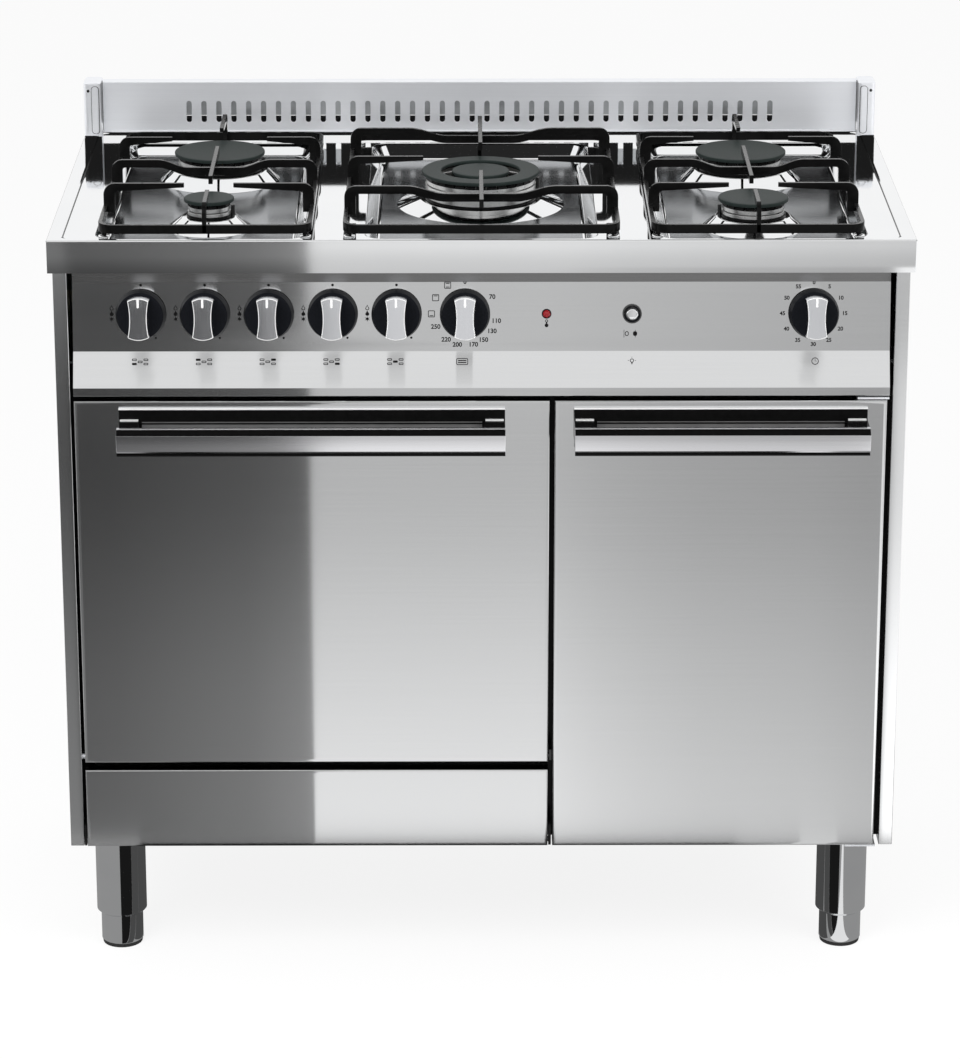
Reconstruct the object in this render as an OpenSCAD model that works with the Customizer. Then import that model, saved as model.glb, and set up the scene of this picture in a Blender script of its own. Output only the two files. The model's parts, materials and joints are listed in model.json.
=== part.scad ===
// Free-standing range cooker with five gas burners, an oven, a warming flap and a bottle compartment.
// X runs from left to right, Y from front to back and Z up from the floor. Sizes are in millimetres.
// A depth d is counted back from the hob's front edge, and a drop is counted down from the hob surface.

/* [Overall] */
// Width of the hob
hob_w = 900; // [890:1:1000]
// Depth of the hob from its front edge to its back edge
hob_d = 512; // [508:1:560]
// Height of the cabinet from its underside to the hob surface
body_h = 675; // [660:1:720]
// Height of the legs under the cabinet
leg_h = 148; // [130:1:170]
// Thickness of the pressed sheet steel
sheet = 1.5; // [1:0.1:1.8]

/* [Cabinet] */
// Step from the hob's edge in to the side panel
side_inset = 5.5; // [4:0.5:8]
// Width of the side panel's folded front return
return_w = 14.5; // [12:0.5:18]
// Depth of the front frame behind the hob's front edge
frame_d = 30; // [30:1:38]
// Thickness of the front frame's plate
frame_t = 2; // [1.5:0.5:3]
// Distance of the back panel in front of the hob's back edge
back_inset = 28; // [25:1:40]
// Width of the folded flanges
flange_w = 12; // [8:1:15]

/* [Hob] */
// Height of the apron round the hob
apron_h = 34; // [30:1:40]
// Distance of a side tray's centre from the middle of the hob
side_tray_x = 292.5; // [291:0.5:294]
// Width of a side tray at the hob surface
side_tray_w = 217; // [212:1:220]
// Depth of a side tray
side_tray_depth = 12; // [9:0.5:15]
// Width of the centre tray at the hob surface
mid_tray_w = 242; // [230:1:250]
// Depth of the centre tray
mid_tray_depth = 17; // [14:0.5:20]
// Depth d of the trays' front edge
tray_front = 10.6; // [9:0.2:12]
// Depth d of the trays' back edge
tray_back = 441; // [436:1:446]
// Run of a tray's sloped wall
tray_slope = 11.5; // [9:0.5:14]
// Corner radius of the trays
tray_corner = 20; // [18:1:24]

/* [Splashback] */
// Height of the splashback above the hob surface
splash_h = 59; // [50:1:80]
// Thickness of the splashback box from front to back
splash_t = 18; // [14:1:22]
// Height of the upstand along the hob's back edge, behind the vent slots
upstand_h = 16; // [10:1:18]
// Height of the splashback's folded rear edge
splash_fold = 8; // [4:1:14]
// Number of vent slots
slot_count = 40; // [20:2:44]
// Distance from one vent slot to the next
slot_pitch = 17; // [14:0.5:18]
// Width of a vent slot
slot_w = 6; // [4:0.5:8]
// Length of a vent slot
slot_len = 25; // [18:1:30]
// Height of a vent slot's lower end above the hob surface
slot_z = 12; // [10:1:16]
// Width of a splashback end cap
cap_end_w = 20; // [14:1:26]
// Reach of an end cap in front of the splashback
cap_end_reach = 18; // [10:1:24]

/* [Burners] */
// Distance of the side burners from the middle of the hob
burner_x = 287; // [285:0.5:289]
// Depth d of the front burners
front_burner_d = 106; // [100:1:112]
// Depth d of the rear burners
rear_burner_d = 318; // [312:1:324]
// Depth d of the centre burner
centre_burner_d = 227; // [220:1:234]
// Cap diameter of the small burner
small_cap_d = 53; // [48:1:58]
// Cap diameter of the medium burner
medium_cap_d = 74; // [68:1:80]
// Cap diameter of the large burners
large_cap_d = 99; // [92:1:104]
// Outer cap diameter of the ring burner
ring_cap_d = 127; // [120:1:132]
// Inner diameter of the ring burner's outer cap
ring_hole_d = 85; // [80:1:90]
// Diameter of the ring burner's inner cap
inner_cap_d = 62; // [56:1:66]
// Height of the burner caps' tops above the hob surface
cap_top = 21; // [19:0.5:23]
// Thickness of a burner cap
cap_t = 4; // [3:0.5:5]
// Height of the slotted burner crown
crown_h = 9; // [7:0.5:11]
// Overhang of a burner cap past its crown
cap_overhang = 4.5; // [3:0.5:6]
// Height of the pressed mound round each burner
mound_h = 6; // [4:0.5:8]

/* [Pan supports] */
// Width of a side pan support
side_support_w = 222; // [218:1:226]
// Width of the centre pan support
mid_support_w = 288; // [270:1:300]
// Depth d of the supports' front rail
support_front = 14; // [12:0.5:16]
// Depth d of the supports' rear rail
support_back = 440; // [436:1:444]
// Thickness of the flat bars
bar_t = 4.5; // [4:0.5:6]
// Height of the supports' underside above the hob surface
rail_z = 4.3; // [3:0.1:6]
// Height of the supports' rails
rail_h = 9.3; // [8:0.1:11]
// Height of the pan plane above the hob surface
pan_z = 36; // [34:1:40]
// Depth of a finger bar at its root
finger_h = 8.5; // [7:0.5:9]
// Depth of a finger bar at its tip
tip_h = 4.5; // [4:0.5:6]
// Drop in the middle of the crossing bars
bar_dip = 8.5; // [6:0.5:9]

/* [Control panel] */
// Height of the upright strip under the apron
strip_h = 16; // [12:1:20]
// Height of the sloped face that carries the knobs
face_h = 72; // [68:1:78]
// Height of the lower slanted face
slant_h = 36; // [32:1:40]
// Height of the lip under the slanted face
lip_h = 9; // [6:1:12]
// Depth d of the top of the knob face
face_top_d = 24; // [20:1:28]
// Depth d of the bottom of the knob face
face_low_d = 14; // [10:1:18]
// Distance of the first knob from the panel's left end
first_knob_inset = 71.4; // [67:0.1:76]
// Distance from one gas knob to the next
knob_pitch = 66.6; // [64:0.2:68]
// Distance of the oven knob from the middle
oven_knob_x = -17.3; // [-22:0.1:-12]
// Distance of the timer knob from the panel's right end
timer_knob_inset = 80; // [75:0.1:90]
// Distance of the pilot lamp from the middle
pilot_x = 67.8; // [60:0.1:80]
// Distance of the lamp button from the middle
button_x = 157; // [150:1:165]
// Diameter of a knob skirt at the panel
skirt_d = 52.5; // [48:0.5:56]
// Diameter of a knob skirt at its front
skirt_front_d = 47; // [44:0.5:50]
// Depth of a knob skirt
skirt_h = 13; // [11:0.5:15]
// Length of a knob grip
grip_len = 44; // [40:1:46]
// Width of a knob grip at its ends
grip_w = 22; // [20:0.5:24]
// Height of a knob grip in front of its skirt
grip_h = 27; // [22:0.5:30]
// Radius of a control spindle
spindle_r = 3; // [2.5:0.1:3.5]
// Travel of a gas knob when it is pushed in
push_travel = 3; // [2:0.1:3.2]
// Travel of the lamp button
button_travel = 2; // [1.5:0.1:2.5]

/* [Doors] */
// Width of the oven door
oven_door_w = 497.8; // [485:0.1:505]
// Depth of the door pans
door_t = 24; // [22:0.5:25]
// Gap between the doors
door_gap = 5; // [4.5:0.1:7]
// Gap between a door and the side panel's return
side_gap = 3.6; // [3:0.1:5]
// Gap between the control panel and the doors
top_gap = 5; // [4.5:0.1:7]
// Height of the warming flap
flap_h = 88.5; // [80:0.5:100]
// Gap between the flap and the oven door
flap_gap = 8.5; // [8:0.1:11]
// Depth of the flap
flap_t = 20; // [18:0.5:22]
// Radius of the door hinge pins
pin_r = 3; // [2.5:0.1:3.5]
// Depth d of the door hinge axes
hinge_d = 8; // [7:0.1:9]
// Height of a hinge axis above its door's lower edge
hinge_up = 5; // [4.8:0.1:6]

/* [Handles] */
// Length of the oven door's handle
oven_handle_len = 404; // [380:1:420]
// Length of the bottle door's handle
bottle_handle_len = 307; // [290:1:315]
// Height of a handle bar
handle_bar_h = 29.5; // [26:0.5:34]
// Thickness of a handle bar
handle_bar_t = 13; // [10:0.5:15]
// Reach of the handles in front of the doors
handle_reach = 45; // [42:0.5:50]
// Drop of the handle bar's top below the door's top
handle_drop = 19; // [17:0.5:24]
// Width of a handle's end bracket
bracket_w = 22; // [18:0.5:24]

/* [Oven] */
// Side and top distance from the door's edge to the oven cavity
cavity_inset = 30; // [28:1:34]
// Air gap between the oven's insulation and the back panel
back_air = 31; // [24:1:50]
// Thickness of the insulation round the cavity
wool_t = 23; // [18:1:24]
// Width of the cavity's front flange
cavity_flange = 14; // [10:1:16]
// Radius of the rack wires
wire_r = 2.5; // [2:0.1:3]

/* [Gas] */
// Radius of the gas rail
rail_r = 8; // [7:0.5:9]
// Radius of the burner feed pipes
pipe_r = 4; // [3:0.5:4.5]
// Radius over the threads of the gas inlet
inlet_r = 10.48; // [10:0.01:13.2]

/* [Legs] */
// Distance of the legs' axes in from the side panels
leg_inset = 46; // [40:0.5:54]
// Depth d of the front legs
front_leg_d = 85; // [75:1:100]
// Depth of the rear legs in front of the back panel
rear_leg_inset = 50; // [40:1:80]
// Radius of a leg sleeve
sleeve_r = 27.5; // [25:0.5:30]
// Radius of a levelling foot
foot_r = 23; // [21:0.5:24]
// Height of the sleeve's lower end above the floor
foot_h = 38; // [30:1:45]

/* [Hidden] */
$fn = 64;

// Clearances: beside a pin, between loose pieces, and past a face that a cut goes through
pin_play = 0.05;
loose = 0.3;
cut = 1;
// Extra radius of the elbows in a bent tube
elbow_swell = 0.05;

steel = [0.78, 0.79, 0.8];
bright = [0.88, 0.89, 0.9];
satin = [0.7, 0.71, 0.72];
zinc = [0.62, 0.64, 0.66];
black = [0.05, 0.05, 0.06];
enamel = [0.12, 0.13, 0.13];
alloy = [0.72, 0.72, 0.7];
brass = [0.78, 0.62, 0.3];
wool = [0.85, 0.83, 0.74];

// The front and back of the whole cooker lie evenly about Y = 0, the handles included
front_y = -(hob_d + handle_reach) / 2 + handle_reach;
body_z = leg_h;
hob_z = leg_h + body_h;
side_x = hob_w / 2 - side_inset;
back_d = hob_d - back_inset;
function at_d(d) = front_y + d;
function drop(z) = hob_z - z;

// Control panel: the upright strip, the knob face, the slanted face and the lip, from the top down
strip_drop = apron_h;
face_drop = strip_drop + strip_h;
slant_drop = face_drop + face_h;
lip_drop = slant_drop + slant_h;
panel_drop = lip_drop + lip_h;
panel_x = side_x - return_w - side_gap;
face_tilt = atan((face_top_d - face_low_d) / face_h);
knob_drop = face_drop + face_h * 0.46;
knob_d = face_top_d - (knob_drop - face_drop) * tan(face_tilt);
gas_knob_x = [for (i = [0:4]) -panel_x + first_knob_inset + i * knob_pitch];
timer_knob_x = panel_x - timer_knob_inset;
skirt_gap = push_travel + 0.5;
knob_face = skirt_gap + skirt_h;
bore_end = skirt_gap + skirt_h + 1;
spindle_end = bore_end - push_travel - 0.5;
switch_front = -sheet - 3;
switch_back = -45;
switch_up = 13;
switch_down = 16;
switch_w = 44;
button_switch_w = 22;
tap_w = 26;
shaft_in = 22;
button_r = 6;
bezel_r = 10;
button_back = -12;
pilot_r = 4;
pilot_neck_r = 3.2;

// Doors
door_z1 = drop(panel_drop + top_gap);
oven_z0 = body_z + flap_h + flap_gap;
oven_x0 = -side_x + return_w + side_gap;
oven_x1 = oven_x0 + oven_door_w;
bottle_x0 = oven_x1 + door_gap;
bottle_x1 = side_x - return_w - side_gap - 2;
oven_mid = (oven_x0 + oven_x1) / 2;
bottle_mid = (bottle_x0 + bottle_x1) / 2;
partition_x = (oven_x1 + bottle_x0) / 2;
partition_t = 2 * sheet;
liner_d = door_t + sheet;
bottle_hinge_x = bottle_x1 - 6;
handle_z1 = door_z1 - handle_drop;
handle_z0 = handle_z1 - handle_bar_h;
channel_z1 = door_z1 - 7;
channel_z0 = handle_z0 - 1.5;
channel_t = 2;

// Oven cavity, counted on the outside of its walls
cavity_x0 = oven_x0 + cavity_inset;
cavity_x1 = oven_x1 - cavity_inset;
cavity_z0 = oven_z0 + cavity_inset - 6;
cavity_z1 = door_z1 - cavity_inset + 4;
cavity_front = frame_d - sheet;
cavity_back = back_d - back_air - wool_t;
element_room = 9;
element_r = 3.2;
element_inset = 60;
element_back_gap = 65;
element_front_gap = 90;
tray_deep = 22;
ladder_gap = 9;
shelf_z = cavity_z0 + 190;
tray_rail_z = cavity_z0 + 70;
ladder_x0 = cavity_x0 + sheet + ladder_gap;
ladder_x1 = cavity_x1 - sheet - ladder_gap;
ladder_front = frame_d + 30;
ladder_back = cavity_back - 30;
bracing_d = [ladder_front, ladder_back];

// Burners in the order of their knobs: x, d, cap diameter, mound diameter, tray depth, flame slots
burners = [
    [-burner_x, front_burner_d, small_cap_d, 90, side_tray_depth, 14],
    [-burner_x, rear_burner_d, large_cap_d, 131, side_tray_depth, 24],
    [burner_x, rear_burner_d, large_cap_d, 131, side_tray_depth, 24],
    [burner_x, front_burner_d, medium_cap_d, 107, side_tray_depth, 18],
    [0, centre_burner_d, ring_cap_d, 180, mid_tray_depth, 32]
];
crown_z = hob_z + cap_top - cap_t - crown_h;
cup_wall = 3;
flame_w = 1.8;
crown_seat = 2;
flame_h = crown_h - 2 * crown_seat;
inner_slots = 18;
neck_step = 9;
neck_drop = 48;
mound_shelf = 7;
electrode_r = 2;
function burner_place(b) = [b[0], at_d(b[1]), 0];
function cup_r(b) = b[2] / 2 - cap_overhang;
function mound_z(b) = hob_z - b[4] + mound_h;
inner_cup_r = inner_cap_d / 2 - cap_overhang / 2;

// Pan supports
support_corner = 18;
post_w = 12;
post_z = rail_z + 0.7;
bend_r = 12;
crook_r = 3;
pad_r = 3;
pad_in = support_corner - (support_corner - bar_t / 2) * cos(45);
// Clearance of a pad over the sloped tray wall
pad_play = 0.6;

// Gas rail and the levels of the feed pipes, each one below the last
tap_back_d = knob_d - switch_back * cos(face_tilt);
rail_d = 40;
rail_drop = knob_drop + switch_down + (rail_d - knob_d) * tan(face_tilt) + rail_r + 0.6;
inlet_x = side_x - 44.5;
inlet_len = 20;
inlet_hex_in = 12;
inlet_hex_r = inlet_r + 3;
terminal_x = inlet_x - 100;
terminal_w = 60;
terminal_h = 50;
pipe_start_d = tap_back_d + 1;
pipe_back_d = pipe_start_d + 12;
pipe_drop0 = knob_drop + 18;
pipe_step = 2 * pipe_r + 2;

leg_x = side_x - leg_inset;
rear_leg_d = back_d - rear_leg_inset;
leg_places = [for (x = [-leg_x, leg_x], d = [front_leg_d, rear_leg_d]) [x, at_d(d), 0]];

// A box between two places along each axis, with its depths counted from the hob's front edge
module block(x0, x1, d0, d1, z0, z1) {
    translate([x0, at_d(d0), z0]) cube([x1 - x0, d1 - d0, z1 - z0]);
}

// A flat rounded rectangle about its own centre
module rounded_rect(w, h, r) {
    square([w - 2 * r, h], center = true);
    square([w, h - 2 * r], center = true);
    for (x = [-1, 1], y = [-1, 1]) translate([x * (w / 2 - r), y * (h / 2 - r)]) circle(r);
}

// Places its children on the sloped knob face at x, with +Z out of the face and +Y up along it
module on_face(x) {
    translate([x, at_d(knob_d), drop(knob_drop)]) rotate([90 - face_tilt, 0, 0]) children();
}

// A round bar from one point to the next
module round_bar(a, b, r) {
    v = b - a;
    translate(a)
        rotate([0, acos(v[2] / norm(v)), atan2(v[1], v[0])])
            cylinder(r = r, h = norm(v));
}

// A bent tube along a list of points
module bent_tube(points, r) {
    for (i = [0:len(points) - 2]) round_bar(points[i], points[i + 1], r);
    for (i = [1:len(points) - 2]) translate(points[i]) sphere(r + elbow_swell);
}

function arc(cx, cy, r, a0, a1, n) =
    [for (i = [0:n]) [cx + r * cos(a0 + (a1 - a0) * i / n), cy + r * sin(a0 + (a1 - a0) * i / n)]];
function reversed(p) = [for (i = [len(p) - 1:-1:0]) p[i]];
function flipped(p, mid) = [for (q = p) [2 * mid - q[0], q[1]]];

// One side panel for the left side: plate, front return and the return's inner fold
module side_panel_form() {
    top = hob_z - sheet;
    block(-side_x, -side_x + sheet, 2, hob_d - 2 * sheet, body_z, top);
    block(-side_x, -side_x + return_w, 2, 2 + sheet, body_z, top);
    block(-side_x + return_w - sheet, -side_x + return_w, 2, frame_d, body_z, drop(panel_drop));
    block(-side_x, -side_x + flange_w, hob_d - 3 * sheet, hob_d - 2 * sheet, body_z, top - apron_h);
}

module side_panel_left() {
    color(steel) side_panel_form();
}

module side_panel_right() {
    color(steel) mirror([1, 0, 0]) side_panel_form();
}

module back_panel() {
    x1 = side_x - sheet;
    color(zinc) difference() {
        union() {
            block(-x1, x1, back_d, back_d + sheet, body_z, hob_z - apron_h);
            for (s = [-1, 1])
                translate([s * (x1 - sheet / 2), 0, 0])
                    block(-sheet / 2, sheet / 2, back_d, back_d + flange_w, body_z, hob_z - apron_h);
        }
        translate([inlet_x, at_d(back_d - cut), drop(rail_drop)])
            rotate([-90, 0, 0]) cylinder(r = inlet_hex_r + loose, h = sheet + 2 * cut);
        for (i = [0:9])
            block(-250 + i * 30, -232 + i * 30, back_d - cut, back_d + sheet + cut,
                body_z + 120, body_z + 126);
    }
}

module base_panel() {
    x1 = side_x - sheet;
    d0 = frame_d + frame_t;
    color(zinc) {
        block(-x1, x1, d0, back_d, body_z, body_z + sheet);
        block(-x1, x1, back_d - sheet, back_d, body_z, body_z + flange_w);
    }
}

module centre_partition() {
    d0 = frame_d + frame_t;
    z0 = body_z + sheet;
    z1 = drop(panel_drop) - 2;
    x0 = partition_x - sheet / 2;
    color(zinc) {
        block(x0, x0 + sheet, d0, back_d - sheet, z0, z1);
        block(x0, x0 + flange_w, d0, back_d - sheet, z1 - sheet, z1);
    }
}

module front_frame() {
    x1 = side_x - sheet;
    z1 = drop(slant_drop + slant_h / 2);
    post = 8;
    color(zinc) {
        difference() {
            block(-x1, x1, frame_d, frame_d + frame_t, body_z, z1);
            block(cavity_x0, cavity_x1, 0, hob_d, cavity_z0, cavity_z1);
            block(oven_x0 + post, oven_x1 - post, 0, hob_d, body_z + 10, body_z + flap_h - 4);
            block(bottle_x0 + post, bottle_x1 - 2 * post, 0, hob_d, body_z + 10, door_z1 - 12);
        }
        block(-x1, x1, frame_d, frame_d + flange_w, z1 - sheet, z1);
    }
}

// Cross-section of the control panel as [d, drop], from the strip down to the lip
panel_line = [
    [face_top_d, strip_drop], [face_top_d, face_drop], [face_low_d, slant_drop],
    [0, lip_drop], [0, panel_drop]
];

module control_panel() {
    line = [for (p = panel_line) [at_d(p[0]), drop(p[1])]];
    inner = [for (p = line) [p[0] + sheet, p[1]]];
    end_line = concat(line, [[at_d(frame_d), drop(panel_drop)], [at_d(frame_d), drop(strip_drop)]]);
    color(steel) difference() {
        union() {
            translate([-panel_x, 0, 0]) rotate([90, 0, 90]) linear_extrude(2 * panel_x)
                polygon(concat(line, reversed(inner)));
            for (x = [-panel_x, panel_x - sheet])
                translate([x, 0, 0]) rotate([90, 0, 90]) linear_extrude(sheet) polygon(end_line);
            block(-panel_x, panel_x, 0, frame_d, drop(panel_drop), drop(panel_drop) + sheet);
            block(-panel_x, panel_x, face_top_d, frame_d, drop(strip_drop) - sheet, drop(strip_drop));
        }
        for (x = concat(gas_knob_x, [oven_knob_x, timer_knob_x]))
            on_face(x) translate([0, 0, -8]) cylinder(r = spindle_r + 1.5, h = 16);
        on_face(button_x) translate([0, 0, -8]) cylinder(r = button_r + 1, h = 16);
        on_face(pilot_x) translate([0, 0, -8]) cylinder(r = pilot_neck_r + loose / 2, h = 16);
    }
}

// A tray pocket, or with grow the outside of its pressed sheet
module pocket(x, w, depth, grow, top) {
    mid_d = at_d((tray_front + tray_back) / 2);
    long = tray_back - tray_front;
    hull() {
        translate([x, mid_d, hob_z - sheet / 2]) linear_extrude(sheet / 2 + top)
            rounded_rect(w + 2 * grow, long + 2 * grow, tray_corner + grow, $fn = 32);
        translate([x, mid_d, hob_z - depth - grow]) linear_extrude(0.1)
            rounded_rect(w + 2 * grow - 2 * tray_slope, long + 2 * grow - 2 * tray_slope,
                tray_corner + grow - tray_slope / 2, $fn = 32);
    }
}

// The pressed rise round one burner, open in the middle for the burner's neck
module mound(b) {
    top = mound_z(b);
    foot = top - mound_h;
    shelf = cup_r(b) + mound_shelf;
    hole = cup_r(b) - neck_step + loose;
    translate(burner_place(b)) rotate_extrude()
        polygon([
            [hole, top - sheet], [hole, top], [shelf, top], [b[3] / 2, foot], [b[3] / 2 + 1, foot],
            [b[3] / 2 + 1, foot - sheet], [b[3] / 2 - sheet, foot - sheet], [shelf - sheet, top - sheet]
        ]);
}

module hob_top() {
    side = side_tray_depth;
    color(bright) {
        difference() {
            union() {
                block(-hob_w / 2, hob_w / 2, 0, hob_d, hob_z - apron_h, hob_z);
            }
            difference() {
                block(-hob_w / 2 + sheet, hob_w / 2 - sheet, sheet, hob_d - sheet,
                    hob_z - apron_h - cut, hob_z - sheet);
                for (s = [-1, 1]) pocket(s * side_tray_x, side_tray_w, side, sheet, 0);
                pocket(0, mid_tray_w, mid_tray_depth, sheet, 0);
            }
            for (s = [-1, 1]) pocket(s * side_tray_x, side_tray_w, side, 0, cut);
            pocket(0, mid_tray_w, mid_tray_depth, 0, cut);
            for (b = burners)
                translate(burner_place(b)) translate([0, 0, mound_z(b) - mound_h - 2 * sheet])
                    cylinder(r = b[3] / 2, h = 3 * sheet);
        }
        for (b = burners) mound(b);
    }
}

module splashback() {
    d0 = hob_d - splash_t;
    x1 = hob_w / 2 - cap_end_w;
    z1 = hob_z + splash_h;
    color(steel) difference() {
        union() {
            block(-x1, x1, d0, d0 + sheet, hob_z, z1);
            block(-x1, x1, d0, hob_d, z1 - sheet, z1);
            block(-x1, x1, hob_d - sheet, hob_d, z1 - splash_fold, z1);
            block(-x1, x1, hob_d - sheet, hob_d, hob_z, hob_z + upstand_h);
            translate([-x1, at_d(d0 + sheet), hob_z + 2.5]) rotate([0, 90, 0])
                cylinder(r = 2.5, h = 2 * x1, $fn = 24);
        }
        for (i = [0:slot_count - 1])
            translate([(i - (slot_count - 1) / 2) * slot_pitch, at_d(d0), hob_z + slot_z])
                rotate([-90, 0, 0]) translate([0, -slot_len / 2, -cut])
                    linear_extrude(sheet + 2 * cut) {
                        square([slot_w, slot_len - slot_w], center = true);
                        for (s = [-1, 1]) translate([0, s * (slot_len - slot_w) / 2])
                            circle(d = slot_w, $fn = 16);
                    }
    }
}

// Each end cap is a rounded upright post that closes the splashback box and reaches forward over the hob
module splashback_end_caps() {
    d0 = hob_d - splash_t - cap_end_reach;
    r = 5;
    color(steel) for (s = [-1, 1])
        translate([s * (hob_w / 2 - cap_end_w / 2), at_d((d0 + hob_d) / 2), hob_z])
            linear_extrude(splash_h + 2.5) rounded_rect(cap_end_w, hob_d - d0, r);
}

module oven_cavity() {
    f = cavity_flange;
    color(enamel) difference() {
        union() {
            block(cavity_x0, cavity_x1, cavity_front, cavity_back, cavity_z0, cavity_z1);
            block(cavity_x0 - f, cavity_x1 + f, cavity_front, frame_d, cavity_z0 - f, cavity_z1 + f);
        }
        block(cavity_x0 + sheet, cavity_x1 - sheet, 0, cavity_back - sheet,
            cavity_z0 + sheet, cavity_z1 - sheet);
    }
}

module oven_insulation() {
    d0 = frame_d + frame_t;
    low = cavity_z0 - element_room;
    color(wool) difference() {
        block(cavity_x0 - wool_t, cavity_x1 + wool_t, d0, cavity_back + wool_t,
            low - wool_t / 2, cavity_z1 + wool_t);
        block(cavity_x0, cavity_x1, 0, cavity_back, low, cavity_z1);
    }
}

module oven_door_seal() {
    w = cavity_flange - 4;
    mid_z = (cavity_z0 + cavity_z1) / 2;
    wide = cavity_x1 - cavity_x0;
    tall = cavity_z1 - cavity_z0;
    color(black) translate([(cavity_x0 + cavity_x1) / 2, at_d(cavity_front), mid_z])
        rotate([90, 0, 0]) linear_extrude(cavity_front - liner_d - loose) difference() {
            rounded_rect(wide + 2 * w, tall + 2 * w, 12);
            rounded_rect(wide + 4, tall + 4, 8);
        }
}

// Wire ladders on both oven walls, with two pairs of rails each
module rack_ladders() {
    z0 = cavity_z0 + 40;
    z1 = cavity_z1 - 60;
    color(bright) for (s = [0, 1]) {
        x = s == 0 ? ladder_x0 : ladder_x1;
        wall = s == 0 ? cavity_x0 + sheet : cavity_x1 - sheet;
        for (d = bracing_d) {
            round_bar([x, at_d(d), z0], [x, at_d(d), z1], wire_r);
            for (z = [z0 + 10, z1 - 10]) round_bar([x, at_d(d), z], [wall, at_d(d), z], wire_r);
        }
        for (z = [tray_rail_z, shelf_z], up = [0, 26])
            round_bar([x, at_d(ladder_front - 8), z + up], [x, at_d(ladder_back + 8), z + up], wire_r);
    }
}

// A wire shelf that lies on the upper rails
module oven_shelf() {
    z = shelf_z + 2 * wire_r + loose;
    x0 = ladder_x0;
    x1 = ladder_x1;
    d0 = ladder_front + 6;
    d1 = ladder_back - 6;
    rods = 15;
    color(bright) {
        bent_tube([[x0, at_d(d0), z], [x0, at_d(d1), z], [x1, at_d(d1), z], [x1, at_d(d0), z],
            [x0, at_d(d0), z]], wire_r);
        translate([x0, at_d(d0), z]) sphere(wire_r);
        for (i = [1:rods]) {
            x = x0 + (x1 - x0) * i / (rods + 1);
            round_bar([x, at_d(d0), z + 1], [x, at_d(d1), z + 1], wire_r * 0.6);
        }
    }
}

// The enamelled tray hangs by its side flanges on the lower rails
module drip_tray() {
    z1 = tray_rail_z + wire_r + loose;
    x0 = ladder_x0 + wire_r + 1;
    x1 = ladder_x1 - wire_r - 1;
    d0 = ladder_front + 6;
    d1 = ladder_back - 6;
    color(enamel) difference() {
        union() {
            block(x0, x1, d0, d1, z1 - tray_deep, z1 + sheet);
            block(ladder_x0 - 1, ladder_x1 + 1, d0, d1, z1, z1 + sheet);
        }
        block(x0 + sheet, x1 - sheet, d0 + sheet, d1 - sheet, z1 - tray_deep + sheet, z1 + 3 * sheet);
    }
}

// A half turn of the element's tube about its own centre, open to +Y or, turned round, to -Y
module element_bend(x, y, z, r, turn) {
    translate([x, y, z]) rotate([0, 0, turn]) rotate_extrude(angle = 180)
        translate([r, 0]) circle(r = element_r, $fn = 32);
}

// A looped grill element under the roof and a wide loop under the cavity floor
module heating_elements() {
    legs = 6;
    x0 = cavity_x0 + element_inset;
    x1 = cavity_x1 - element_inset;
    step = (x1 - x0) / (legs - 1);
    wide = (x1 - x0) / 2;
    back = at_d(cavity_back - sheet);
    far = at_d(cavity_back - element_back_gap);
    near = at_d(frame_d + element_front_gap);
    z_top = cavity_z1 - 24;
    z_low = cavity_z0 - element_r - loose;
    color([0.35, 0.33, 0.32]) {
        for (i = [0:legs - 1]) {
            last = i == 0 || i == legs - 1;
            round_bar([x0 + i * step, near, z_top], [x0 + i * step, last ? back : far, z_top], element_r);
        }
        for (i = [0:2:legs - 2]) element_bend(x0 + (i + 0.5) * step, near, z_top, step / 2, 180);
        for (i = [1:2:legs - 3]) element_bend(x0 + (i + 0.5) * step, far, z_top, step / 2, 0);
        for (x = [x0, x1]) round_bar([x, near + wide, z_low], [x, far, z_low], element_r);
        element_bend((x0 + x1) / 2, near + wide, z_low, wide, 180);
    }
}

module oven_lamp() {
    color([0.95, 0.93, 0.85])
        translate([cavity_x0 + 70, at_d(cavity_back - sheet), cavity_z1 - 65]) rotate([90, 0, 0]) {
            cylinder(r = 27, h = 5);
            cylinder(r = 22, h = 16);
        }
}

// The gas rail under the taps, its run to the inlet at the back, and one feed pipe for each burner
module gas_rail() {
    rail_z0 = drop(rail_drop);
    color(zinc) {
        bent_tube([
            [gas_knob_x[0] - 20, at_d(rail_d), rail_z0], [inlet_x, at_d(rail_d), rail_z0],
            [inlet_x, at_d(back_d - inlet_hex_in), rail_z0]
        ], rail_r);
        for (i = [0:4]) {
            b = burners[i];
            x = gas_knob_x[i];
            z0 = drop(knob_drop - switch_back * sin(face_tilt));
            level = drop(pipe_drop0 + i * pipe_step);
            d_turn = b[1];
            bent_tube([
                [x, at_d(pipe_start_d), z0], [x, at_d(pipe_back_d), z0], [x, at_d(pipe_back_d), level],
                [x, at_d(d_turn), level], [b[0], at_d(d_turn), level],
                [b[0], at_d(d_turn), hob_z - neck_drop - loose]
            ], pipe_r);
        }
    }
    color(brass) translate([inlet_x, at_d(back_d - inlet_hex_in), rail_z0]) rotate([-90, 0, 0]) {
        cylinder(r = inlet_hex_r, h = inlet_hex_in + sheet + loose, $fn = 6);
        cylinder(r = inlet_r, h = inlet_hex_in + sheet + inlet_len);
    }
}

// One gas tap: a brass body behind the panel with a bore for the spindle, and a nipple down to the rail
module tap_form() {
    difference() {
        translate([-tap_w / 2, -switch_down, switch_back])
            cube([tap_w, switch_down + switch_up, switch_front - switch_back]);
        translate([0, 0, switch_front - shaft_in]) cylinder(r = spindle_r + pin_play, h = 30);
    }
}

module gas_taps() {
    color(brass) for (x = gas_knob_x) on_face(x) tap_form();
}

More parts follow.
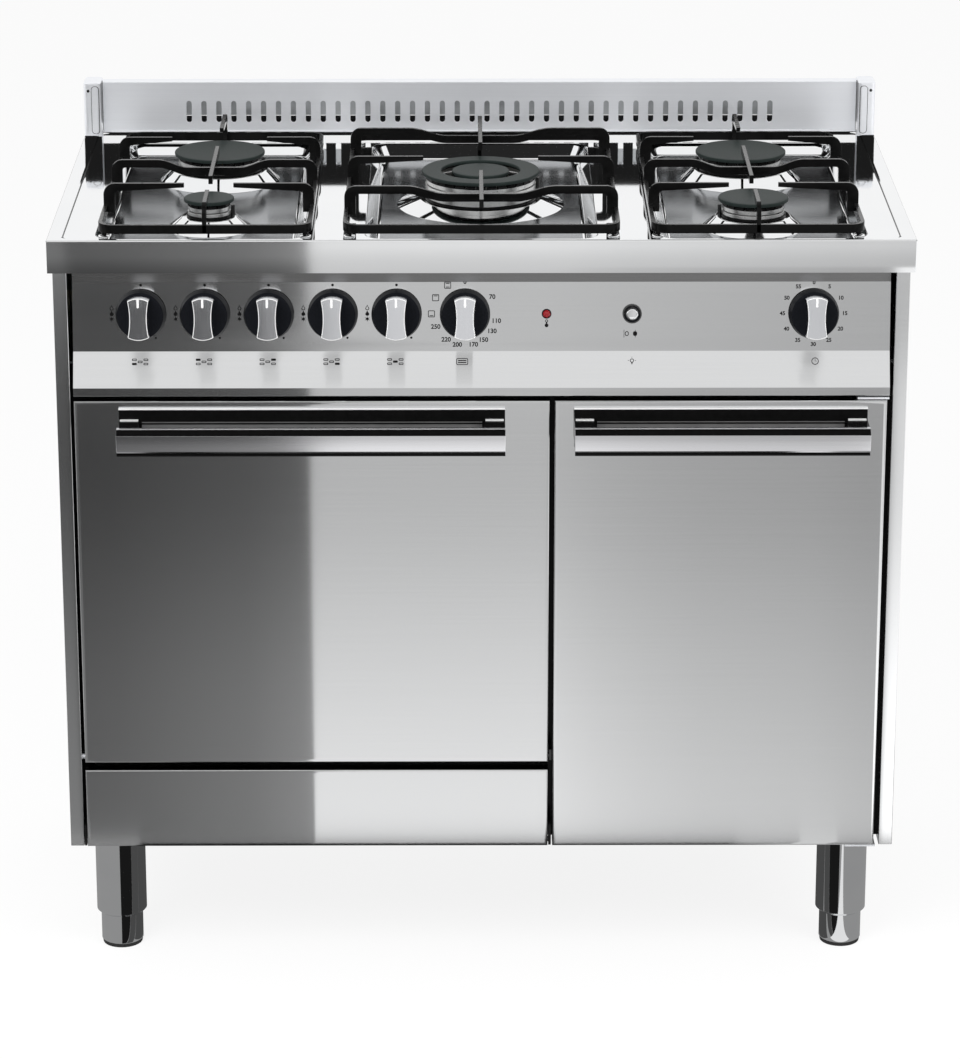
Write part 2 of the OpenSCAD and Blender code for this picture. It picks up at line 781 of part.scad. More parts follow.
module burner_cup_form(b) {
    r = cup_r(b);
    top = mound_z(b);
    low = hob_z - neck_drop;
    translate(burner_place(b)) rotate_extrude()
        polygon([
            [0, low], [r - neck_step, low], [r - neck_step, top], [r, top], [r, crown_z],
            [r - cup_wall, crown_z], [r - cup_wall, top + cup_wall], [0, top + cup_wall]
        ]);
}

module burner_cups() {
    centre = burners[4];
    color(alloy) {
        for (b = burners) burner_cup_form(b);
        translate(burner_place(centre)) translate([0, 0, mound_z(centre) + cup_wall])
            difference() {
                cylinder(r = inner_cup_r, h = crown_z - mound_z(centre) - cup_wall);
                translate([0, 0, 2]) cylinder(r = inner_cup_r - cup_wall, h = 40);
            }
    }
}

// A crown: a base ring and a top plate held apart by teeth, with the flame slots between them
module crown_form(r, slots, hole) {
    gap_z = crown_seat + flame_h;
    tooth_w = 2 * PI * r / slots - flame_w;
    tooth_x = sqrt(r * r - tooth_w * tooth_w / 4) - 0.1;
    difference() {
        union() {
            cylinder(r = r, h = crown_seat);
            translate([0, 0, gap_z]) cylinder(r = r, h = crown_h - gap_z);
        }
        translate([0, 0, -cut]) cylinder(r = r - cup_wall, h = gap_z);
        if (hole > 0) translate([0, 0, -cut]) cylinder(r = hole, h = crown_h + 2 * cut);
    }
    for (i = [0:slots - 1]) rotate([0, 0, i * 360 / slots])
        translate([r - cup_wall, -tooth_w / 2, crown_seat / 2])
            cube([tooth_x - r + cup_wall, tooth_w, flame_h + crown_seat]);
}

module burner_crowns() {
    ring = burners[4];
    color(enamel) {
        for (i = [0:3])
            translate(burner_place(burners[i])) translate([0, 0, crown_z])
                crown_form(cup_r(burners[i]), burners[i][5], 0);
        translate(burner_place(ring)) translate([0, 0, crown_z]) {
            crown_form(inner_cup_r, inner_slots, 0);
            crown_form(cup_r(ring), ring[5], ring_hole_d / 2 + 2);
        }
    }
}

// A cap disc with softened edges, or a ring where hole is above zero
module cap_form(r, hole) {
    e = 1.2;
    rotate_extrude()
        polygon([[hole, 0], [r - e, 0], [r, e], [r, cap_t - e], [r - e, cap_t], [hole, cap_t]]);
}

module burner_caps() {
    ring = burners[4];
    color(black) {
        for (i = [0:3])
            translate(burner_place(burners[i])) translate([0, 0, crown_z + crown_h])
                cap_form(burners[i][2] / 2, 0);
        translate(burner_place(ring)) translate([0, 0, crown_z + crown_h]) {
            cap_form(inner_cap_d / 2, 0);
            cap_form(ring_cap_d / 2, ring_hole_d / 2);
            for (s = [-1, 1]) translate([s * (ring_hole_d / 2 - 3), 0, cap_t / 2])
                cube([8, 10, cap_t], center = true);
        }
    }
}

// A spark electrode stands on the mound beside each burner
module electrodes() {
    color([0.9, 0.9, 0.88]) for (b = burners)
        translate(burner_place(b)) rotate([0, 0, b[0] > 0 ? 180 : 0])
            translate([cup_r(b) + electrode_r + 1, 0, mound_z(b)])
                cylinder(r = electrode_r, h = crown_z - mound_z(b) + crown_h / 2);
}

// Oven thermostat, timer and lamp switch behind the panel, the button's bezel and the terminal block
module control_switches() {
    color([0.15, 0.15, 0.16]) {
        for (x = [oven_knob_x, timer_knob_x]) on_face(x) difference() {
            translate([-switch_w / 2, -switch_down, switch_back])
                cube([switch_w, switch_down + switch_up, switch_front - switch_back]);
            translate([0, 0, switch_front - shaft_in]) cylinder(r = spindle_r + pin_play, h = 30);
        }
        on_face(button_x) {
            translate([-button_switch_w / 2, -switch_down, switch_back])
                cube([button_switch_w, switch_down + switch_up,
                    button_back - button_travel - loose - switch_back]);
            difference() {
                cylinder(r = bezel_r, h = 3);
                translate([0, 0, -cut]) cylinder(r = button_r + pin_play, h = 6);
            }
        }
        block(terminal_x, terminal_x + terminal_w, back_d - 30, back_d,
            drop(panel_drop), drop(panel_drop - terminal_h));
    }
}

module pilot_lamp() {
    color([0.75, 0.08, 0.06]) on_face(pilot_x) {
        cylinder(r = pilot_r, h = 2);
        translate([0, 0, -20]) cylinder(r = pilot_neck_r, h = 20);
        translate([0, 0, 2]) cylinder(r1 = pilot_r, r2 = pilot_r - 2, h = 1.6);
    }
}

// Chrome leg sleeves, chamfered at the bottom and hollow for the levelling feet
module leg_sleeves() {
    color(bright) for (p = leg_places) translate(p) rotate_extrude()
        polygon([
            [foot_r + loose, foot_h], [sleeve_r - 3, foot_h], [sleeve_r, foot_h + 3], [sleeve_r, body_z],
            [0, body_z], [0, body_z - 4], [foot_r + loose, body_z - 4]
        ]);
}

// Levelling feet with a rubber pad below and a threaded stud up to the sleeve's top plate
module levelling_feet() {
    color(bright) for (p = leg_places) translate(p) {
        cylinder(r = foot_r - 1, h = 4);
        translate([0, 0, 4]) cylinder(r = foot_r, h = foot_h + 20);
        translate([0, 0, foot_h + 20]) cylinder(r = 6, h = body_z - 4 - foot_h - 20);
    }
}

// Hinge pins with their brackets: two for the oven door, two for the flap, two for the bottle door
module hinge_pins() {
    tab_x0 = partition_x - 1.2;
    tab_x1 = partition_x + 1.2;
    reach = 9;
    plate_t = 2;
    edge = -side_x + return_w;
    color(satin) {
        for (z = [oven_z0 + hinge_up, body_z + hinge_up]) {
            round_bar([edge, at_d(hinge_d), z], [oven_x0 + reach, at_d(hinge_d), z], pin_r);
            round_bar([tab_x0, at_d(hinge_d), z], [oven_x1 - reach, at_d(hinge_d), z], pin_r);
            block(tab_x0, tab_x1, hinge_d - 4, frame_d, z - 4, z + 8);
        }
        for (s = [0, 1]) {
            z0 = s == 0 ? body_z - plate_t - loose : door_z1 + 2 * loose;
            tip = s == 0 ? body_z + reach : door_z1 - reach;
            block(bottle_hinge_x - 25, bottle_hinge_x + 8, 2, frame_d, z0, z0 + plate_t);
            block(bottle_hinge_x - 25, bottle_hinge_x + 8, frame_d - plate_t, frame_d,
                s == 0 ? z0 : z0 - 6 + plate_t, s == 0 ? z0 + 8 : z0 + plate_t);
            round_bar([bottle_hinge_x, at_d(hinge_d), z0 + (s == 0 ? 0 : plate_t)],
                [bottle_hinge_x, at_d(hinge_d), tip], pin_r);
        }
    }
}

// An open-backed door pan with folded edges
module door_pan(x0, x1, z0, z1, deep) {
    difference() {
        block(x0, x1, 0, deep, z0, z1);
        block(x0 + sheet, x1 - sheet, sheet, deep + cut, z0 + sheet, z1 - sheet);
    }
}

module oven_door_skin() {
    color(steel) difference() {
        door_pan(oven_x0, oven_x1, oven_z0, door_z1, door_t);
        translate([oven_x0 - cut, at_d(hinge_d), oven_z0 + hinge_up]) rotate([0, 90, 0])
            cylinder(r = pin_r + pin_play, h = oven_door_w + 2 * cut);
    }
}

// The door's inner panel closes the pan and has a pressed plug that faces the cavity
module oven_door_liner() {
    m = cavity_inset + 14;
    color(enamel) {
        block(oven_x0 + 1, oven_x1 - 1, door_t, liner_d, oven_z0 + hinge_up + pin_r + 2, door_z1 - 1);
        difference() {
            block(oven_x0 + m, oven_x1 - m, liner_d, liner_d + 8, oven_z0 + m, door_z1 - m);
            block(oven_x0 + m + sheet, oven_x1 - m - sheet, door_t, liner_d + 8 - sheet,
                oven_z0 + m + sheet, door_z1 - m - sheet);
        }
    }
}

// A handle bar with a full front and a lower facet
module handle_bar_form(mid, length) {
    y0 = at_d(-handle_reach);
    y1 = y0 + handle_bar_t;
    color(bright) translate([mid - length / 2, 0, 0]) rotate([90, 0, 90]) linear_extrude(length)
        polygon([
            [y0 + 2, handle_z1], [y0, handle_z1 - 2], [y0, handle_z0 + 6], [y0 + 5, handle_z0],
            [y1, handle_z0], [y1, handle_z1]
        ]);
}

// The black back plate, its bright top lip and the two end brackets that carry the bar
module handle_channel_form(mid, length) {
    x0 = mid - length / 2;
    x1 = mid + length / 2;
    d0 = -handle_reach + handle_bar_t;
    color(black) {
        block(x0, x1, -channel_t, 0, channel_z0, channel_z1);
        block(x0, x1, -7, 0, channel_z1 - 3, channel_z1);
        for (x = [x0, x1 - bracket_w])
            block(x, x + bracket_w, d0, -channel_t, handle_z0 + 3, handle_z1 - 1);
    }
}

module oven_handle_bar() {
    handle_bar_form(oven_mid, oven_handle_len);
}

module oven_handle_channel() {
    handle_channel_form(oven_mid, oven_handle_len);
}

module bottle_door_skin() {
    color(steel) difference() {
        door_pan(bottle_x0, bottle_x1, body_z, door_z1, door_t);
        translate([bottle_hinge_x, at_d(hinge_d), body_z - cut])
            cylinder(r = pin_r + pin_play, h = door_z1 - body_z + 2 * cut);
    }
}

module bottle_handle_bar() {
    handle_bar_form(bottle_mid, bottle_handle_len);
}

module bottle_handle_channel() {
    handle_channel_form(bottle_mid, bottle_handle_len);
}

module flap_panel() {
    color(steel) difference() {
        door_pan(oven_x0, oven_x1, body_z, body_z + flap_h, flap_t);
        translate([oven_x0 - cut, at_d(hinge_d), body_z + hinge_up]) rotate([0, 90, 0])
            cylinder(r = pin_r + pin_play, h = oven_door_w + 2 * cut);
    }
}

module tap_spindle(i) {
    color(satin) on_face(gas_knob_x[i])
        translate([0, 0, switch_front - shaft_in + 2])
            cylinder(r = spindle_r, h = spindle_end - switch_front + shaft_in - 2);
}

module spindle_front_left() {
    tap_spindle(0);
}

module spindle_rear_left() {
    tap_spindle(1);
}

module spindle_rear_right() {
    tap_spindle(2);
}

module spindle_front_right() {
    tap_spindle(3);
}

module spindle_centre() {
    tap_spindle(4);
}

// A tapered knob skirt with a blind bore for the spindle, or with its own shaft
module knob_skirt(x, shaft) {
    color(black) on_face(x) {
        difference() {
            translate([0, 0, skirt_gap]) rotate_extrude()
                polygon([
                    [0, 0], [skirt_d / 2 - 1, 0], [skirt_d / 2, 1], [skirt_front_d / 2 + 0.6, skirt_h - 1],
                    [skirt_front_d / 2 - 0.6, skirt_h], [0, skirt_h]
                ]);
            if (!shaft) translate([0, 0, -cut])
                cylinder(r = spindle_r + pin_play, h = knob_face + 2 * cut);
        }
        if (shaft) translate([0, 0, switch_front - shaft_in + 2])
            cylinder(r = spindle_r, h = skirt_gap - switch_front + shaft_in - 1);
    }
}

// A waisted grip bar with arched ends and a pointer groove at its top
module knob_grip(x, shaft) {
    waist_r = 150;
    notch_w = 4;
    notch_len = 10;
    color(satin) on_face(x) difference() {
        translate([0, 0, knob_face]) linear_extrude(grip_h) difference() {
            intersection() {
                square([grip_w, grip_len], center = true);
                circle(r = grip_len / 2);
            }
            for (s = [-1, 1]) translate([s * (grip_w / 2 + waist_r - 2), 0]) circle(r = waist_r, $fn = 180);
        }
        translate([-notch_w / 2, grip_len / 2 - notch_len, knob_face + grip_h - 1])
            cube([notch_w, notch_len + cut, 2]);
        if (!shaft) cylinder(r = spindle_r + pin_play, h = bore_end);
    }
}

module knob_skirt_front_left() {
    knob_skirt(gas_knob_x[0], false);
}

module knob_skirt_rear_left() {
    knob_skirt(gas_knob_x[1], false);
}

module knob_skirt_rear_right() {
    knob_skirt(gas_knob_x[2], false);
}

module knob_skirt_front_right() {
    knob_skirt(gas_knob_x[3], false);
}

module knob_skirt_centre() {
    knob_skirt(gas_knob_x[4], false);
}

module knob_skirt_oven() {
    knob_skirt(oven_knob_x, true);
}

module knob_skirt_timer() {
    knob_skirt(timer_knob_x, true);
}

module knob_grip_front_left() {
    knob_grip(gas_knob_x[0], false);
}

module knob_grip_rear_left() {
    knob_grip(gas_knob_x[1], false);
}

module knob_grip_rear_right() {
    knob_grip(gas_knob_x[2], false);
}

module knob_grip_front_right() {
    knob_grip(gas_knob_x[3], false);
}

module knob_grip_centre() {
    knob_grip(gas_knob_x[4], false);
}

module knob_grip_oven() {
    knob_grip(oven_knob_x, true);
}

module knob_grip_timer() {
    knob_grip(timer_knob_x, true);
}

module lamp_button() {
    color(bright) on_face(button_x) translate([0, 0, button_back])
        rotate_extrude() polygon([
            [0, 0], [button_r, 0], [button_r, 4.2 - button_back], [button_r - 1, 5.2 - button_back],
            [0, 5.2 - button_back]
        ]);
}

// Cross-section of a finger bar: up from the rail, round a bend and level to its tip
function finger_line(length) = concat(
    [[0, post_z]],
    arc(bend_r, pan_z - bend_r, bend_r, 180, 90, 5),
    [[length, pan_z], [length, pan_z - tip_h]],
    reversed(arc(post_w + crook_r, pan_z - finger_h - crook_r, crook_r, 180, 90, 3)),
    [[post_w, post_z]]
);

// A finger from a rail inwards: dir 0 runs to +X, 90 to +Y, 180 to -X and 270 to -Y
module finger(x, d, dir, length) {
    translate([x, at_d(d), hob_z]) rotate([0, 0, dir]) rotate([90, 0, 0])
        linear_extrude(bar_t, center = true) polygon(finger_line(length));
}

// Half of the crossing bar, from a rail to the middle, along its top or its underside
function wave(u0, u1, top) =
    [for (i = [0:6]) [u0 + (u1 - u0) * i / 6, top - bar_dip * (1 - cos(180 * i / 6)) / 2]];

module wave_bar(x0, x1, d) {
    mid = (x1 - x0) / 2;
    u0 = mid * 0.45;
    u1 = mid * 0.75;
    upper = concat([[0, post_z]], arc(bend_r, pan_z - bend_r, bend_r, 180, 90, 5), wave(u0, u1, pan_z));
    lower = concat([[post_w, post_z]],
        arc(post_w + crook_r, pan_z - finger_h - crook_r, crook_r, 180, 90, 3),
        wave(u0, u1, pan_z - finger_h));
    translate([x0, at_d(d), hob_z]) rotate([90, 0, 0]) linear_extrude(bar_t, center = true)
        polygon(concat(upper, reversed(flipped(upper, mid)), flipped(lower, mid), reversed(lower)));
}

// Height of a corner pad's underside: on the flat rim, or just over the sloped wall of a side tray
function pad_bottom(px, pd) =
    let (cx = side_tray_x + side_tray_w / 2 - tray_corner,
         cd = pd < hob_d / 2 ? tray_front + tray_corner : tray_back - tray_corner,
         over = tray_corner - norm([abs(px) - cx, pd - cd]) - pad_r)
    over > 0 ? hob_z - over * side_tray_depth / tray_slope + pad_play : hob_z;

module support_frame(x0, x1) {
    w = x1 - x0;
    long = support_back - support_front;
    translate([(x0 + x1) / 2, at_d((support_front + support_back) / 2), hob_z + rail_z])
        linear_extrude(rail_h) difference() {
            rounded_rect(w, long, support_corner);
            rounded_rect(w - 2 * bar_t, long - 2 * bar_t, support_corner - bar_t);
        }
    for (px = [x0 + pad_in, x1 - pad_in], pd = [support_front + pad_in, support_back - pad_in])
        translate([px, at_d(pd), pad_bottom(px, pd)])
            cylinder(r = pad_r, h = hob_z + rail_z + 1 - pad_bottom(px, pd));
}

module straight_bar(x, d0, d1) {
    block(x - bar_t / 2, x + bar_t / 2, d0, d1, hob_z + pan_z - bar_dip - 0.5, hob_z + pan_z);
}

// A side support spans a front and a rear burner
module side_support(x) {
    x0 = x - side_support_w / 2;
    x1 = x + side_support_w / 2;
    mid_d = (front_burner_d + rear_burner_d) / 2;
    side_len = side_support_w / 2;
    color(black) {
        support_frame(x0, x1);
        wave_bar(x0, x1, mid_d);
        straight_bar(x, mid_d - 75, mid_d + 63);
        finger(x, support_front, 90, front_burner_d - 29 - support_front);
        finger(x, support_back, 270, support_back - rear_burner_d - 43);
        for (s = [0, 1]) {
            finger(s == 0 ? x0 : x1, front_burner_d, s * 180, side_len - 26);
            finger(s == 0 ? x0 : x1, rear_burner_d, s * 180, side_len - 52);
        }
    }
}

module pan_support_left() {
    side_support(-burner_x);
}

module pan_support_centre() {
    x1 = mid_support_w / 2;
    d = centre_burner_d;
    color(black) {
        support_frame(-x1, x1);
        for (s = [-1, 1]) {
            wave_bar(-x1, x1, d + s * 134);
            straight_bar(0, d + s * 129 - 65, d + s * 129 + 65);
            finger(s * x1, d, s > 0 ? 180 : 0, x1 - 62);
        }
    }
}

module pan_support_right() {
    side_support(burner_x);
}

side_panel_left();
side_panel_right();
back_panel();
base_panel();
centre_partition();
front_frame();
control_panel();
hob_top();
splashback();
splashback_end_caps();
oven_cavity();
oven_insulation();
oven_door_seal();
rack_ladders();
oven_shelf();
drip_tray();
heating_elements();
oven_lamp();
gas_rail();
gas_taps();
burner_cups();
burner_crowns();
burner_caps();
electrodes();
control_switches();
pilot_lamp();
leg_sleeves();
levelling_feet();
hinge_pins();
oven_door_skin();
oven_door_liner();
oven_handle_bar();
oven_handle_channel();
bottle_door_skin();
bottle_handle_bar();
bottle_handle_channel();
flap_panel();
spindle_front_left();
spindle_rear_left();
spindle_rear_right();
spindle_front_right();
spindle_centre();
knob_skirt_front_left();
knob_skirt_rear_left();
knob_skirt_rear_right();
knob_skirt_front_right();
knob_skirt_centre();
knob_skirt_oven();
knob_skirt_timer();
knob_grip_front_left();
knob_grip_rear_left();
knob_grip_rear_right();
knob_grip_front_right();
knob_grip_centre();
knob_grip_oven();
knob_grip_timer();
lamp_button();
pan_support_left();
pan_support_centre();
pan_support_right();
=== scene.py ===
# A free-standing range cooker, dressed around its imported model.
import json
import math

import bmesh
import bpy
from mathutils import Matrix, Vector

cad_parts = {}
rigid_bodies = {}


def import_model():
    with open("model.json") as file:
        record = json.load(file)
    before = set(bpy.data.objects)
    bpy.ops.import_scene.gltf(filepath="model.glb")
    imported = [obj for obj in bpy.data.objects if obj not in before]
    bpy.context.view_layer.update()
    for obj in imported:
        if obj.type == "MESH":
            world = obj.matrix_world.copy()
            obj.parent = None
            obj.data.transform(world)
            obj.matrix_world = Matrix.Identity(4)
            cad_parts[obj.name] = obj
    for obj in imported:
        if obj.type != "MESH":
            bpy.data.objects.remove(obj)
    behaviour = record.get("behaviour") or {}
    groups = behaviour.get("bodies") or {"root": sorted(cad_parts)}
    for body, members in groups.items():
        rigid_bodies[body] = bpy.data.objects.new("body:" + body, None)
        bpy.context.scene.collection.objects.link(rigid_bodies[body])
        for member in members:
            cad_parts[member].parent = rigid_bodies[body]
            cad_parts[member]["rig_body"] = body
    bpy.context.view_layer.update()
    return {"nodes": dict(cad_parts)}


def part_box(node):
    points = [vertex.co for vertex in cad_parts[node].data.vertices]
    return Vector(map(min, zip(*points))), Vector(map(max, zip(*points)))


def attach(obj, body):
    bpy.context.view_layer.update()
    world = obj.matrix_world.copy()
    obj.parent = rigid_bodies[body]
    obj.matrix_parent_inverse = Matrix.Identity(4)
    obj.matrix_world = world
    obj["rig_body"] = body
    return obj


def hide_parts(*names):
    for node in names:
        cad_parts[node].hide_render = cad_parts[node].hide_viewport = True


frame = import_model()
scene = bpy.context.scene
scene.view_settings.view_transform = "Standard"

# Shapes are drawn in millimetres: x from the middle, d back from the hob's front edge,
# z up from the hob's surface
mm = 0.001
toMm = Matrix.Diagonal((1 / mm, 1 / mm, 1 / mm, 1))
poleRadius = 0.0001  # a smaller ring is drawn as one point
hobLow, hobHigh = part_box("hob_top")
frontY, hobZ = hobLow.y, hobHigh.z
hobPlace = Matrix.Translation((0, frontY, hobZ)) @ Matrix.Diagonal((mm, mm, mm, 1))


def boxMm(node):
    low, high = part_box(node)
    return (low.x / mm, high.x / mm, (low.y - frontY) / mm, (high.y - frontY) / mm,
            (low.z - hobZ) / mm, (high.z - hobZ) / mm)


# Drawing helpers

def fillet(points, radius, steps=4, closed=False):
    # rounds the corners of a 2-D line with arcs; radius is one value, or one for each point
    out = []
    count = len(points)
    for i, p in enumerate(points):
        r = radius[i] if isinstance(radius, (list, tuple)) else radius
        corner = Vector(p)
        toPrev = Vector(points[i - 1]) - corner
        toNext = Vector(points[(i + 1) % count]) - corner
        if r <= 0 or (not closed and i in (0, count - 1)) or toPrev.angle(toNext) > math.radians(179):
            out.append(tuple(p))
            continue
        half = toPrev.angle(toNext) / 2
        cut = min(r / math.tan(half), 0.49 * toPrev.length, 0.49 * toNext.length)
        toPrev.normalize()
        toNext.normalize()
        centre = corner + (toPrev + toNext).normalized() * (cut / math.cos(half))
        a = corner + toPrev * cut - centre
        b = corner + toNext * cut - centre
        turn = a.angle(b)
        for k in range(steps + 1):
            t = k / steps
            swing = a * math.sin((1 - t) * turn) + b * math.sin(t * turn)
            out.append(tuple(centre + swing / math.sin(turn)))
    return out


def arcPoints(cx, cy, r, start, end, steps):
    return [(cx + r * math.cos(math.radians(start + (end - start) * k / steps)),
             cy + r * math.sin(math.radians(start + (end - start) * k / steps))) for k in range(steps + 1)]


def roundRect(x0, x1, y0, y1, r, steps=6):
    return (arcPoints(x1 - r, y0 + r, r, -90, 0, steps) + arcPoints(x1 - r, y1 - r, r, 0, 90, steps)
            + arcPoints(x0 + r, y1 - r, r, 90, 180, steps) + arcPoints(x0 + r, y0 + r, r, 180, 270, steps))


def stitch(bm, a, b):
    count = max(len(a), len(b))
    for k in range(count):
        n = (k + 1) % count
        if len(a) == 1:
            bm.faces.new((a[0], b[k], b[n]))
        elif len(b) == 1:
            bm.faces.new((a[k], b[0], a[n]))
        else:
            bm.faces.new((a[k], b[k], b[n], a[n]))


def loft(bm, rings, capStart=False, capEnd=False, around=False):
    made = [[bm.verts.new(p) for p in ring] for ring in rings]
    for a, b in zip(made, made[1:]):
        stitch(bm, a, b)
    if around:
        stitch(bm, made[-1], made[0])
    if capStart:
        bm.faces.new(made[0])
    if capEnd:
        bm.faces.new(made[-1])
    return made


def lathe(bm, profile, centre=(0, 0), segs=72, around=False):
    # turns (radius, z) points about an upright axis; a radius of zero makes a pole
    cx, cy = centre
    turns = [2 * math.pi * k / segs for k in range(segs)]
    rings = []
    for r, z in profile:
        if r < poleRadius:
            rings.append([(cx, cy, z)])
        else:
            rings.append([(cx + r * math.cos(turn), cy + r * math.sin(turn), z) for turn in turns])
    return loft(bm, rings, around=around)


def ringAt(outline, z):
    return [(u, v, z) for u, v in outline]


def prism(bm, outline, axis, w0, w1):
    # extrudes a 2-D outline along x, y or z
    order = {"x": lambda u, v, w: (w, u, v), "y": lambda u, v, w: (u, w, v),
             "z": lambda u, v, w: (u, v, w)}[axis]
    rings = [[order(u, v, w) for u, v in outline] for w in (w0, w1)]
    return loft(bm, rings, capStart=True, capEnd=True)


def block(bm, x0, x1, d0, d1, z0, z1):
    return prism(bm, [(x0, d0), (x1, d0), (x1, d1), (x0, d1)], "z", z0, z1)


def addMesh(bm, mesh, place):
    mesh.transform(place)
    bm.from_mesh(mesh)
    bpy.data.meshes.remove(mesh)


def addPart(bm, part, place):
    # puts one drawing into another
    mesh = bpy.data.meshes.new("part")
    part.to_mesh(mesh)
    part.free()
    addMesh(bm, mesh, place)


def addObject(name, data):
    obj = bpy.data.objects.new(name, data)
    scene.collection.objects.link(obj)
    return obj


def bakedMesh(obj, **settings):
    # the plain mesh that an object shows with its modifiers
    graph = bpy.context.evaluated_depsgraph_get()
    return bpy.data.meshes.new_from_object(obj.evaluated_get(graph), **settings)


def settle(obj, bevel=0, segments=2, angle=30, solid=0, edgeSlot=-1):
    # bakes the finishing modifiers into a plain mesh with clean normals
    if solid:
        wall = obj.modifiers.new("wall", "SOLIDIFY")
        wall.thickness = solid * mm
        wall.offset = -1
    if bevel:
        soft = obj.modifiers.new("soft", "BEVEL")
        soft.width = bevel * mm
        soft.segments = segments
        soft.limit_method = "ANGLE"
        soft.angle_limit = math.radians(angle)
        soft.miter_outer = "MITER_ARC"
        soft.material = edgeSlot
    obj.data.shade_smooth()
    obj.data.set_sharp_from_angle(angle=math.radians(max(angle, 35)))
    even = obj.modifiers.new("even", "WEIGHTED_NORMAL")
    even.keep_sharp = True
    mesh = bakedMesh(obj, preserve_all_data_layers=True, depsgraph=bpy.context.evaluated_depsgraph_get())
    obj.modifiers.clear()
    old = obj.data
    obj.data = mesh
    bpy.data.meshes.remove(old)
    mesh.name = obj.name
    return obj


def toPiece(bm, name, place=hobPlace, **finish):
    bm.transform(place)
    bmesh.ops.recalc_face_normals(bm, faces=bm.faces)
    mesh = bpy.data.meshes.new(name)
    bm.to_mesh(mesh)
    bm.free()
    return settle(addObject(name, mesh), **finish)


def copyNode(node, name, flatAngle=0.4, **finish):
    # a merged copy of a CAD node, with flat faces made whole and its edges softened
    bm = bmesh.new()
    bm.from_mesh(frame["nodes"][node].data)
    bmesh.ops.remove_doubles(bm, verts=bm.verts, dist=0.01 * mm)
    if flatAngle:
        bmesh.ops.dissolve_limit(bm, angle_limit=math.radians(flatAngle), verts=bm.verts, edges=bm.edges)
    return toPiece(bm, name, Matrix.Identity(4), **finish)


def dress(obj, body, material, replaces=()):
    obj.data.materials.clear()
    for m in material if isinstance(material, list) else [material]:
        obj.data.materials.append(m)
    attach(obj, body)
    if replaces:
        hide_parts(*replaces)
    return obj


def paintFaces(obj, index, test):
    # gives another of the object's finishes to the faces that pass the test,
    # which sees their middle in millimetres
    back = hobPlace.inverted()
    for face in obj.data.polygons:
        if test(back @ face.center, face):
            face.material_index = index


# Node groups that several finishes share

def newGroup(name, inputs, outputs, kind="Shader"):
    group = bpy.data.node_groups.new(name, kind + "NodeTree")
    for socket, sort, value in inputs:
        made = group.interface.new_socket(name=socket, in_out="INPUT", socket_type="NodeSocket" + sort)
        if value is not None:
            made.default_value = value
    for socket, sort in outputs:
        group.interface.new_socket(name=socket, in_out="OUTPUT", socket_type="NodeSocket" + sort)
    return group, group.nodes.new("NodeGroupInput"), group.nodes.new("NodeGroupOutput")


def node(tree, kind, values=None, **settings):
    made = tree.nodes.new(kind)
    for key, value in settings.items():
        setattr(made, key, value)
    for key, value in (values or {}).items():
        made.inputs[key].default_value = value
    return made


def buildGrain():
    # fine streaks or spots: Stretch sets how many fit in a metre along each axis
    group, start, end = newGroup("surfaceGrain", [
        ("Stretch", "Vector", (10, 10, 900)), ("Detail", "Float", 2.0),
        ("Contrast", "Float", 1.0)], [("Mask", "Float")])
    place = node(group, "ShaderNodeTexCoord")
    spread = node(group, "ShaderNodeVectorMath", operation="MULTIPLY")
    noise = node(group, "ShaderNodeTexNoise", {"Scale": 1.0})
    shift = node(group, "ShaderNodeMath", {1: 0.5}, operation="SUBTRACT")
    gain = node(group, "ShaderNodeMath", operation="MULTIPLY")
    back = node(group, "ShaderNodeMath", {1: 0.5}, operation="ADD", use_clamp=True)
    link = group.links.new
    link(place.outputs["Object"], spread.inputs[0])
    link(start.outputs["Stretch"], spread.inputs[1])
    link(spread.outputs[0], noise.inputs["Vector"])
    link(start.outputs["Detail"], noise.inputs["Detail"])
    link(noise.outputs["Fac"], shift.inputs[0])
    link(shift.outputs[0], gain.inputs[0])
    link(start.outputs["Contrast"], gain.inputs[1])
    link(gain.outputs[0], back.inputs[0])
    link(back.outputs[0], end.inputs["Mask"])
    return group


def buildRelief():
    # turns a mask into a bump
    group, start, end = newGroup("surfaceRelief", [
        ("Mask", "Float", 0.5), ("Strength", "Float", 0.1),
        ("Depth", "Float", 0.0002)], [("Normal", "Vector")])
    bump = node(group, "ShaderNodeBump")
    group.links.new(start.outputs["Mask"], bump.inputs["Height"])
    group.links.new(start.outputs["Strength"], bump.inputs["Strength"])
    group.links.new(start.outputs["Depth"], bump.inputs["Distance"])
    group.links.new(bump.outputs["Normal"], end.inputs["Normal"])
    return group


def buildTone():
    # spreads a mask between two values and two colours
    group, start, end = newGroup("toneSpread", [
        ("Mask", "Float", 0.5), ("Dark", "Color", (0.5, 0.5, 0.5, 1)),
        ("Light", "Color", (0.7, 0.7, 0.7, 1)), ("Smooth", "Float", 0.2),
        ("Rough", "Float", 0.4)], [("Colour", "Color"), ("Roughness", "Float")])
    mix = node(group, "ShaderNodeMix", data_type="RGBA")
    span = node(group, "ShaderNodeMapRange")
    link = group.links.new
    link(start.outputs["Mask"], mix.inputs[0])
    link(start.outputs["Dark"], mix.inputs[6])
    link(start.outputs["Light"], mix.inputs[7])
    link(start.outputs["Mask"], span.inputs["Value"])
    link(start.outputs["Smooth"], span.inputs["To Min"])
    link(start.outputs["Rough"], span.inputs["To Max"])
    link(mix.outputs[2], end.inputs["Colour"])
    link(span.outputs["Result"], end.inputs["Roughness"])
    return group


